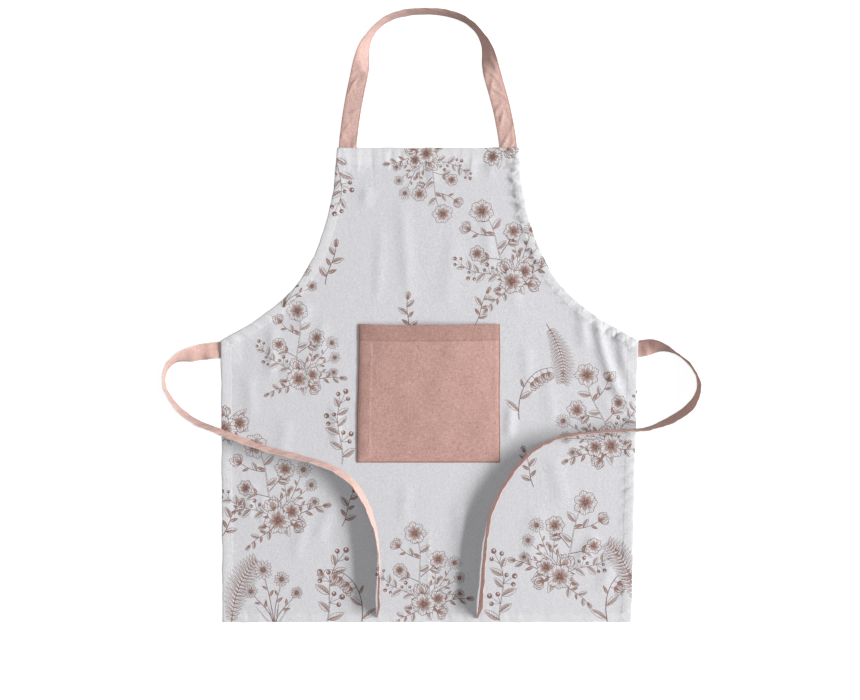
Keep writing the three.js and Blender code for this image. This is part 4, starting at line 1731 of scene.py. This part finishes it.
        # Outer band painted dark as the rolled edge's shade; the mouth's band takes the darker chambray as
        # painted shade.
        edge = np.minimum.reduce([across, self.width - across, up]) < self.shade_rim_width
        cloth = np.where(self.height - up < self.top_hem, Patch.MOUTH_SHADE.value, Patch.SINGLE.value)
        draft.paints[: len(quads)] = np.where(edge, Patch.EDGE_SHADE.value, cloth).ravel().tolist()
        finishes = [finish.build() for finish in (CHAMBRAY, MOUTH_SHADE_CHAMBRAY, ROSE_EDGE_SHADE)]
        pocket = draft.build("patch_pocket", finishes, Slot.ROSE_CHAMBRAY)
        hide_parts("pocket")
        return pocket

    def stitches(self) -> bpy.types.Object:
        """Edge stitching on three sides and the row under the mouth."""
        u, v, xy = self.grid()
        _, top = self.heights(u, v, xy)
        points = np.dstack([xy + self.relief.shape.origin, top])
        up = v[:, 0] * self.height
        column = int(np.argmin(np.abs(u[0] * self.width - self.stitch_inset)))
        row = int(np.argmin(np.abs(up - self.stitch_inset)))
        mouth = int(np.argmin(np.abs(self.height - up - (self.top_hem - self.mouth_stitch_inset))))
        draft = Draft()
        sewing = Stitching(pitch=2.9, length=2.2, radius=0.27)
        sides = (points[row:, column], points[row:, -1 - column])
        for path in (*sides, points[row, column:-column], points[mouth]):
            sewing.sew(draft, path, np.tile((0.0, 0.0, 1.0), (len(path), 1)))
        return draft.build("pocket_stitches", [ROSE_THREAD.build()], Slot.ROSE_CHAMBRAY)


# Straps and ties


def centripetal_curve(rows: np.ndarray, steps: int) -> np.ndarray:
    """Points on the centripetal Catmull-Rom curve through the rows.

    Args:
        rows: The curve's own points, one in each row.
        steps: Points made for each of them.

    Returns:
        The fine points, first and last included.
    """
    ends = np.vstack([2.0 * rows[0] - rows[1], rows, 2.0 * rows[-1] - rows[-2]])
    count = len(rows) * steps
    fine = []
    for place in np.linspace(0.0, len(rows) - 1.0, count + 1):
        at = min(int(place), len(rows) - 2)
        share = place - at
        a, b, c, d = ends[at : at + 4]
        before, own, after = (np.linalg.norm(q - p) ** 0.5 for p, q in ((a, b), (b, c), (c, d)))
        start = ((b - a) / before - (c - a) / (before + own) + (c - b) / own) * own
        end = ((c - b) / own - (d - b) / (own + after) + (d - c) / after) * own
        second = 3.0 * (c - b) - 2.0 * start - end
        third = 2.0 * (b - c) + start + end
        fine.append(b + start * share + second * (share * share) + third * share**3)
    return np.array(fine)


@dataclass
class Route:
    """Stops along a tape, at even steps."""

    place: np.ndarray
    heading: np.ndarray
    distance: np.ndarray
    tilt: np.ndarray
    softness = 11.0
    rounds = 3
    fine_steps = 24

    @classmethod
    def lay(cls, rows: np.ndarray, length: float | None, step: float) -> "Route":
        """Lays a route through rows of x, y and tilt.

        Args:
            rows: The rows of the route's table.
            length: Where it stops, or None for its whole length.
            step: Distance between stops.

        Returns:
            The route.
        """
        fine = centripetal_curve(rows, cls.fine_steps)
        travelled = np.concatenate([[0.0], np.cumsum(np.hypot(*np.diff(fine[:, :2], axis=0).T))])
        total = travelled[-1] if length is None else length
        distance = np.linspace(0.0, total, int(round(total / step)) + 1)
        place = np.stack([np.interp(distance, travelled, fine[:, axis]) for axis in range(2)], axis=1)
        tilt = np.interp(distance, travelled, fine[:, 2])
        place, tilt = cls.even(place, step), cls.even(tilt[:, None], step)[:, 0]
        beyond = np.maximum(distance - travelled[-1], 0.0)
        last = fine[-1, :2] - fine[-2, :2]
        place = place + (last / np.linalg.norm(last)) * beyond[:, None]
        return cls(place, unit(np.gradient(place, axis=0)), distance, tilt)

    @classmethod
    def even(cls, values: np.ndarray, step: float) -> np.ndarray:
        """Takes the tight corners out of a run of values and keeps its ends."""
        reach = int(cls.softness / step)
        for _ in range(cls.rounds):
            before = 2.0 * values[0] - values[reach:0:-1]
            beyond = 2.0 * values[-1] - values[-2 : -reach - 2 : -1]
            nought = np.zeros((1, values.shape[1]))
            summed = np.cumsum(np.concatenate([nought, before, values, beyond]), axis=0)
            values = (summed[2 * reach + 1 :] - summed[: -2 * reach - 1]) / (2 * reach + 1)
        return values


@dataclass
class Tape:
    """A stitched cloth tape swept along a route.

    Attributes:
        name: Name of the piece.
        node: The solid that it stands for.
        width: Width of the tape.
        outer: Side of the way whose edge is raised, 1 left or -1 right.
        rests_on: What it lies on; not used.
        waves: Long bends of the tape, as rows of height, wavelength and phase.
        seed: Starts the random places of its creases.
        crease_every: Length of tape for each crease.
        humps: Humps across the tape, as rows of distance from its start, half length and height.
    """

    name: str
    node: str
    width: float
    outer: float
    rests_on: tuple[str, ...]
    waves: tuple[tuple[float, float, float], ...]
    seed: int = 1
    crease_every: float = 6.5
    humps: tuple[tuple[float, float, float], ...] = ()
    stitch_inset = 2.3
    inner_columns = 9
    crease_long = (14.0, 46.0)
    crease_wide = (2.2, 5.0)
    crease_high = (0.35, 1.4)
    crease_turn = (8.0, 48.0)
    freed_by_start = (14.0, 30.0)
    freed_by_end = (4.0, 30.0)
    standing_tilt = (20.0, 60.0)
    unsewn = 22.0
    stop_step = 1.8
    stitch_column = 3
    # Second finish paints the edge bands darker: painted shade along the rolled, stitched edges.
    finishes = (BLUSH_TAPE, SEAM_SHADE_TAPE)

    def profile(self) -> tuple[np.ndarray, np.ndarray]:
        """The tape's section: distances across it and half thicknesses there."""
        edge = self.stitch_inset
        wide = self.width
        inner = np.linspace(edge + 0.9, 0.5 * wide, self.inner_columns)[1:]
        reach = [0.0, 0.5, edge - 0.9, edge, edge + 0.9, *inner]
        reach += [wide - value for value in reach[-2::-1]]
        half = [0.18, 0.72, 0.86, 0.66, 0.9] + [1.0] * len(inner)
        half += half[-2::-1]
        return np.array(reach), np.array(half) * TAPE / 2.0

    def creases(self, along: np.ndarray, across: np.ndarray) -> np.ndarray:
        """Height of the small creases that cross the tape at a slant.

        Args:
            along: Distance along the tape, one row for each stop.
            across: Distance across it, one column for each reach.

        Returns:
            The height for each stop and reach.
        """
        chance = np.random.default_rng(self.seed)
        total = float(along[-1, 0])
        height = np.zeros((len(along), across.shape[1]))
        for _ in range(int(total / self.crease_every)):
            at, off = chance.uniform(0.0, total), chance.uniform(0.0, self.width)
            turn = math.radians(chance.uniform(*self.crease_turn)) * chance.choice((-1.0, 1.0))
            spans = (self.crease_long, self.crease_wide, self.crease_high)
            long, wide, high = (chance.uniform(*span) for span in spans)
            ahead = (along - at) * math.cos(turn) + (across - off) * math.sin(turn)
            aside = (across - off) * math.cos(turn) - (along - at) * math.sin(turn)
            height += high * np.exp(-((aside / wide) ** 2) - (2.0 * ahead / long) ** 2)
        return height

    def sideways(self, route: Route) -> np.ndarray:
        """Directions across the way, towards the edge that is raised."""
        return left_of(route.heading) * self.outer

    def sweep(
        self, route: Route, base: np.ndarray, height: np.ndarray
    ) -> tuple[np.ndarray, np.ndarray, np.ndarray]:
        """Works out where the tape lies.

        Args:
            route: Its stops.
            base: Height of its lower edge at each stop.
            height: How much of its width is left at each stop.

        Returns:
            Points of the middle layer for each stop and reach, the direction through the cloth for
            each stop, and the half thickness at each reach.
        """
        reach, half = self.profile()
        tilt = np.radians(route.tilt)
        sideways = self.sideways(route)
        across = np.column_stack([sideways * np.cos(tilt)[:, None], np.sin(tilt)])
        through = np.column_stack([-sideways * np.sin(tilt)[:, None], np.cos(tilt)])
        foot = np.column_stack([route.place, np.zeros(len(tilt))]) - across * self.width / 2.0
        foot[:, 2] = base + TAPE / 2.0 * np.abs(np.cos(tilt))
        share = reach / self.width
        along = route.distance[:, None]
        free = smooth(*self.freed_by_start, along) * smooth(*self.freed_by_end, along[-1] - along)
        standing = smooth(*self.standing_tilt, route.tilt)[:, None]
        bend = ripple(along + 9.0 * share, self.waves)
        cup = 0.5 * np.sin(math.pi * share) * np.sin(along / 47.0)
        crumpled = self.creases(along, reach[None, :]) * (1.0 - 0.55 * standing)
        lift = free * standing * (bend * (0.25 + 0.75 * share) + cup) + free * crumpled
        lift = lift + sum(high * hill(along - at, half_long) for at, half_long, high in self.humps)
        middle = foot[:, None, :] + across[:, None, :] * (share * height[:, None])[:, :, None]
        return middle + through[:, None, :] * lift[:, :, None], through, half

    def make(self, route: Route, base: np.ndarray, height: np.ndarray, length: float) -> bpy.types.Object:
        """Makes the tape and its stitch rows.

        Args:
            route: Its stops.
            base: Height of its lower edge at each stop.
            height: How much of its width is left at each stop.
            length: Its length; not used.

        Returns:
            The tape's object.
        """
        middle, through, half = self.sweep(route, base, height)
        shift = np.append(PANEL_SHAPE.origin, 0.0)
        face = middle + through[:, None, :] * half[None, :, None] + shift
        back = middle - through[:, None, :] * half[None, :, None] + shift
        rings = np.concatenate([face, back[:, ::-1]], axis=1)
        stops, corners = rings.shape[:2]
        quads = grid_faces(stops, corners, closed=True)
        caps = [tuple(range(corners))[::-1], tuple(range((stops - 1) * corners, stops * corners))]
        turned = -1 if self.outer > 0.0 else 1
        draft = Draft()
        draft.add(rings.reshape(-1, 3), [quad[::turned] for quad in quads + caps])
        wide = face.shape[1]
        # Edge bands take the second finish: painted shade on the strap, a painted highlight on the ties.
        column = np.arange(len(quads)) % corners % wide
        painted_edge_bands = (column < self.stitch_column) | (column >= wide - 1 - self.stitch_column)
        draft.paints[: len(quads)] = painted_edge_bands.astype(int).tolist()
        tape = draft.build(self.name, [finish.build() for finish in self.finishes], Slot.BLUSH_TAPE)
        tape.visible_diffuse = False
        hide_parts(self.node)
        self.sew(face, back, through, route)
        return tape

    def sew(self, face: np.ndarray, back: np.ndarray, through: np.ndarray, route: Route) -> None:
        """Adds the stitch rows along both edges, on the face and on the back."""
        draft = Draft()
        sewing = Stitching(pitch=3.1, length=2.3, radius=0.24)
        kept = route.distance < route.distance[-1] - self.unsewn
        for column in (self.stitch_column, face.shape[1] - 1 - self.stitch_column):
            sewing.sew(draft, face[kept, column], through[kept])
            sewing.sew(draft, back[kept, column], -through[kept])
        draft.build(f"{self.name}_stitches", [BLUSH_THREAD.build()], Slot.BLUSH_TAPE)


LEFT_TIE = np.array([
    (-1.08, 0.962, 8.0), (-1.158, 0.952, 36.0), (-1.213, 0.94, 66.0), (-1.25, 0.917, 80.0),
    (-1.275, 0.88, 86.0), (-1.27, 0.838, 88.0), (-1.24, 0.793, 82.0), (-1.145, 0.723, 74.0),
    (-0.996, 0.676, 74.0), (-0.813, 0.624, 74.0), (-0.62, 0.586, 75.0), (-0.477, 0.553, 75.0),
    (-0.366, 0.497, 74.0), (-0.292, 0.406, 75.0), (-0.252, 0.305, 83.0), (-0.241, 0.213, 92.0),
    (-0.242, 0.124, 98.0), (-0.243, 0.02, 100.0),
])
RIGHT_TIE = np.array([
    (1.064, 0.983, 24.0), (1.12, 0.978, 68.0), (1.17, 0.962, 88.0), (1.218, 0.938, 88.0),
    (1.262, 0.905, 90.0), (1.29, 0.862, 88.0), (1.282, 0.803, 77.0), (1.23, 0.752, 65.0),
    (1.165, 0.723, 67.0), (1.063, 0.69, 79.0), (0.98, 0.682, 84.0), (0.818, 0.677, 85.0),
    (0.626, 0.657, 84.0), (0.491, 0.608, 84.0), (0.386, 0.521, 84.0), (0.3, 0.402, 84.0),
    (0.269, 0.277, 82.0), (0.25, 0.104, 79.0), (0.236, 0.0, 77.0),
])


@dataclass
class WaistTie(Tape):
    """A waist tie: sewn behind the side hem, twisted onto its edge and laid over the panel.

    Attributes:
        side: Which side of the apron it is on.
        table: Rows of x and y shares and of tilt along its way.
        relief: The panel that it crosses.
        free_length: Length from the panel's side to the tip.
        tuck: Length behind the side hem.
        tip: Length of its pointed end.
        tip_width: Width left at the tip.
        hover: How far its last stretch stands clear of the panel.
    """

    side: Side = Side.LEFT
    table: np.ndarray | None = None
    relief: PanelRelief | None = None
    free_length: float = 735.0
    tuck: float = 16.0
    tip: float = 20.0
    tip_width: float = 3.0
    hover: float = 1.1
    corner_drop = 1.0
    window = 11
    hover_from = (165.0, 120.0)
    hover_until = (12.0, 34.0)
    # Second finish paints the edge bands lighter: a painted highlight along the edges.
    finishes = (TIE_TAPE, TIE_EDGE_HIGHLIGHT)

    def build(self) -> bpy.types.Object:
        """Lays the tie along its route and makes it."""
        shape = self.relief.shape
        sign = self.side.value
        tie_y = shape.side_height - self.corner_drop - self.width / 2.0
        scale = np.array([shape.width / 2.0, shape.side_height, 1.0])
        half = shape.width / 2.0
        start = [(sign * (half - self.tuck), tie_y, 0.0), (sign * half, tie_y, 0.0)]
        total = self.tuck + self.free_length
        route = Route.lay(np.vstack([start, self.table * scale]), total, self.stop_step)
        route.tilt = route.tilt * smooth(self.tuck, 3.0 * self.tuck, route.distance)
        left = np.clip((total - route.distance) / self.tip, 0.0, 1.0)
        height = self.tip_width + (self.width - self.tip_width) * left
        return self.make(route, self.bases(route, total), height, total)

    def bases(self, route: Route, total: float) -> np.ndarray:
        """Height of the lower edge: on the floor beside the panel, and on the panel."""
        tilt = np.radians(route.tilt)
        sideways = self.sideways(route)
        foot = route.place - sideways * (np.cos(tilt) * self.width / 2.0)[:, None]
        need = np.zeros(len(foot))
        beyond = route.distance > 2.0 * self.tuck
        on = self.relief.shape.inside(foot) & beyond
        need[on] = self.relief.top(foot[on]) + GAP
        parts = [slice(max(at - self.window, 0), at + self.window + 1) for at in range(len(need))]
        highest = np.array([need[part].max() for part in parts])
        even = np.array([highest[part].mean() for part in parts])
        last = total - route.distance
        return even + self.hover * smooth(*self.hover_from, last) * smooth(*self.hover_until, last)


@dataclass
class NeckStrap(Tape):
    """The neck strap: a whole loop whose ends are sewn behind the bib's top hem.

    Attributes:
        shape: The panel's outline.
        tuck: Length behind the top hem.
        corner_inset: From the bib's corner to the strap's edge.
        leg_rise: Height of the flat legs above the bib.
        leg_lean: How far the legs run inwards.
        mid_lean: Share of the lean at half a leg.
        crown_shift: How far the crown lies off the bib's middle.
        standing: Tilt of the strap round its crown.
        free_length: Length from bib edge to bib edge.
    """

    shape: PanelShape | None = None
    tuck: float = 26.0
    corner_inset: float = 2.0
    leg_rise: float = 134.0
    leg_lean: float = 26.0
    mid_lean: float = 0.38
    crown_shift: float = -4.0
    standing: float = 78.0
    free_length: float = 600.0
    stands_from = 0.2
    stands_to = 0.36
    crown = (
        (-1.0, 0.0), (-0.93, 0.42), (-0.62, 0.85), (0.0, 1.0), (0.62, 0.85), (0.93, 0.42), (1.0, 0.0),
    )

    def strap_x(self, side: Side) -> float:
        """Middle of the strap where it leaves the bib."""
        reach = self.shape.bib_width / 2.0 - self.corner_inset - self.width / 2.0
        return self.shape.bib_shift + side.value * reach

    def rows(self) -> np.ndarray:
        """The loop's rows of x, y and tilt."""
        top = self.shape.height
        crown_x = self.shape.bib_shift + self.crown_shift
        half = self.strap_x(Side.RIGHT) - self.shape.bib_shift - self.leg_lean
        tilt = math.radians(self.standing)
        edge = self.width / 2.0 * math.cos(tilt) + TAPE / 2.0 * math.sin(tilt)
        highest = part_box("neck_strap")[1][1] / MM - self.shape.origin[1] - edge
        crown_height = highest - top - self.leg_rise

        def leg(side: Side) -> list[tuple[float, float, float]]:
            """Rows of one leg, from behind the hem upwards."""
            foot = self.strap_x(side)
            lean = crown_x + side.value * half - foot
            return [
                (foot, top - self.tuck, 0.0),
                (foot, top, 0.0),
                (foot + self.mid_lean * lean, top + self.leg_rise / 2.0, 0.0),
            ]

        crown = [(crown_x + x * half, top + self.leg_rise + y * crown_height, 0.0) for x, y in self.crown]
        return np.array([*leg(Side.LEFT), *crown, *leg(Side.RIGHT)[::-1]])

    def build(self) -> bpy.types.Object:
        """Lays the loop and makes it."""
        route = Route.lay(self.rows(), None, self.stop_step)
        total = route.distance[-1]
        from_end = np.minimum(route.distance, total - route.distance) / total
        route.tilt = self.standing * smooth(self.stands_from, self.stands_to, from_end)
        flat = np.zeros(len(route.distance))
        return self.make(route, flat, flat + self.width, self.free_length + 2.0 * self.tuck)


# Studio


@dataclass(frozen=True)
class Lamp:
    """A soft box that faces the middle of the apron.

    Attributes:
        name: Its name.
        height: Its elevation in degrees.
        turn: Its direction in the floor plane, in degrees from +X towards +Y.
        distance: How far away it is, in metres.
        wide: Its width in metres.
        tall: Its height in metres.
        power: Its power in watts.
        colour: Colour of its light.
    """

    name: str
    height: float
    turn: float
    distance: float
    wide: float
    tall: float
    power: float
    colour: tuple[float, float, float] = (1.0, 1.0, 1.0)
    aim = (0.0, -0.05, 0.0)

    def build(self) -> None:
        """Adds the light."""
        data = bpy.data.lights.new(self.name, "AREA")
        data.shape = "RECTANGLE"
        data.size = self.wide
        data.size_y = self.tall
        data.energy = self.power
        data.color = self.colour
        lamp = bpy.data.objects.new(self.name, data)
        rise, turn = math.radians(self.height), math.radians(self.turn)
        way = Vector((math.cos(rise) * math.cos(turn), math.cos(rise) * math.sin(turn), math.sin(rise)))
        lamp.location = Vector(self.aim) + way * self.distance
        lamp.rotation_euler = way.to_track_quat("Z", "Y").to_euler()
        bpy.context.scene.collection.objects.link(lamp)


LAMPS = (
    Lamp("key", 28.0, -4.0, 9.0, 7.0, 2.5, 680.0),
    Lamp("edge", 33.0, -4.0, 9.0, 7.0, 0.7, 222.0),
    Lamp("fill", 84.0, 100.0, 3.0, 3.0, 3.0, 16.0),
    Lamp("bounce", 16.0, 180.0, 4.0, 4.0, 2.0, 20.0, (1.0, 0.78, 0.7)),
)


@dataclass
class Studio:
    """Camera straight above, soft lights, the strongest from the right, and a pale floor.

    Attributes:
        view_width: Width of floor that the picture shows, in metres.
        centre_x: Middle of the picture in the frame, in metres.
        centre_y: The same along Y.
        lens: Focal length in millimetres.
        sensor: Width of the sensor in millimetres.
    """

    view_width: float = 860.0 * 1.679 * MM
    centre_x: float = -3.1 * MM
    centre_y: float = -57.1 * MM
    lens: float = 85.0
    sensor: float = 36.0
    sky = (0.95, 0.97, 1.0, 1.0)
    sky_strength = 0.145
    floor_half = 4.0
    floor_drop = 0.0002

    def build(self) -> None:
        """Adds camera, lights, world and floor."""
        scene = bpy.context.scene
        scene.view_settings.view_transform = "Standard"
        camera = bpy.data.objects.new("camera", bpy.data.cameras.new("camera"))
        camera.data.lens = self.lens
        camera.data.sensor_width = self.sensor
        camera.location = (self.centre_x, self.centre_y, self.view_width * self.lens / self.sensor)
        scene.collection.objects.link(camera)
        scene.camera = camera
        for lamp in LAMPS:
            lamp.build()
        world = bpy.data.worlds.new("studio")
        world.use_nodes = True
        background = world.node_tree.nodes["Background"]
        Nodes.settle(background, {"Color": self.sky, "Strength": self.sky_strength})
        scene.world = world
        self.floor()

    def floor(self) -> None:
        """Adds the floor, bright enough to stay pale in the shadows."""
        half = self.floor_half
        corners = [(-half, -half, 0.0), (half, -half, 0.0), (half, half, 0.0), (-half, half, 0.0)]
        mesh = bpy.data.meshes.new("floor")
        mesh.from_pydata(corners, [], [(0, 1, 2, 3)])
        nodes = Nodes("pale_floor")
        nodes.settle(nodes.shader, {
            "Base Color": (0.8, 0.8, 0.8, 1.0),
            "Roughness": 1.0,
            "Emission Color": (1.0, 1.0, 1.0, 1.0),
            "Emission Strength": 0.76,
        })
        mesh.materials.append(nodes.material)
        plane = bpy.data.objects.new("floor", mesh)
        plane.location = (0.0, 0.0, -self.floor_drop)
        plane.visible_diffuse = False
        bpy.context.scene.collection.objects.link(plane)


def panel_shape() -> PanelShape:
    """The panel's outline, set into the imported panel's box."""
    low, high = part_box("panel")
    return PanelShape((low[0] / MM, low[1] / MM), (high[0] / MM, high[1] / MM))


PANEL_SHAPE = panel_shape()


def tucked_ends(shape: PanelShape, strap: NeckStrap, tie: WaistTie) -> list[TuckedEnd]:
    """Where the four tape ends lie under the panel."""
    tie_y = shape.side_height - tie.corner_drop - tie.width / 2.0
    ends = []
    for side in Side:
        strap_y = shape.height - strap.tuck / 2.0
        ends.append(TuckedEnd(strap.strap_x(side), strap_y, strap.width / 2.0, strap.tuck / 2.0))
        tie_x = side.value * (shape.width - tie.tuck) / 2.0
        ends.append(TuckedEnd(tie_x, tie_y, tie.tuck / 2.0, tie.width / 2.0))
    return ends


def main() -> None:
    """Builds the apron piece by piece, and then the studio."""
    logging.basicConfig(level=logging.INFO, format="%(name)s: %(message)s")
    shape = PANEL_SHAPE
    Studio().build()
    strap_waves = ((0.25, 31.0, 0.3), (0.18, 17.0, 1.1))
    tie_waves = ((0.5, 43.0, 0.2), (0.3, 21.0, 1.3), (0.15, 11.0, 0.5))
    strap = NeckStrap("neck_tape", "neck_strap", 30.0, 1.0, ("floor",), strap_waves, 5, shape=shape)
    left = WaistTie("left_tie_tape", "tie_left", 28.0, -1.0, ("floor", "apron_panel"), tie_waves, 11)
    left.humps = ((36.0, 8.0, 1.9), (66.0, 9.0, 1.8))
    right = WaistTie("right_tie_tape", "tie_right", 28.0, 1.0, ("floor", "apron_panel"), tie_waves, 17)
    right.humps = ((29.0, 7.0, 2.4),)
    relief = PanelRelief(shape, PanelOutline(shape).runs(), tucked_ends(shape, strap, left))
    left.side, left.table, left.relief = Side.LEFT, LEFT_TIE, relief
    right.side, right.table, right.relief, right.free_length = Side.RIGHT, RIGHT_TIE, relief, 763.0
    panel = Panel(shape, relief)
    panel.build()
    panel.stitches()
    pocket = Pocket(relief)
    pocket.build()
    pocket.stitches()
    strap.build()
    left.build()
    right.build()
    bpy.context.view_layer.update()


if __name__ == "__main__":
    main()
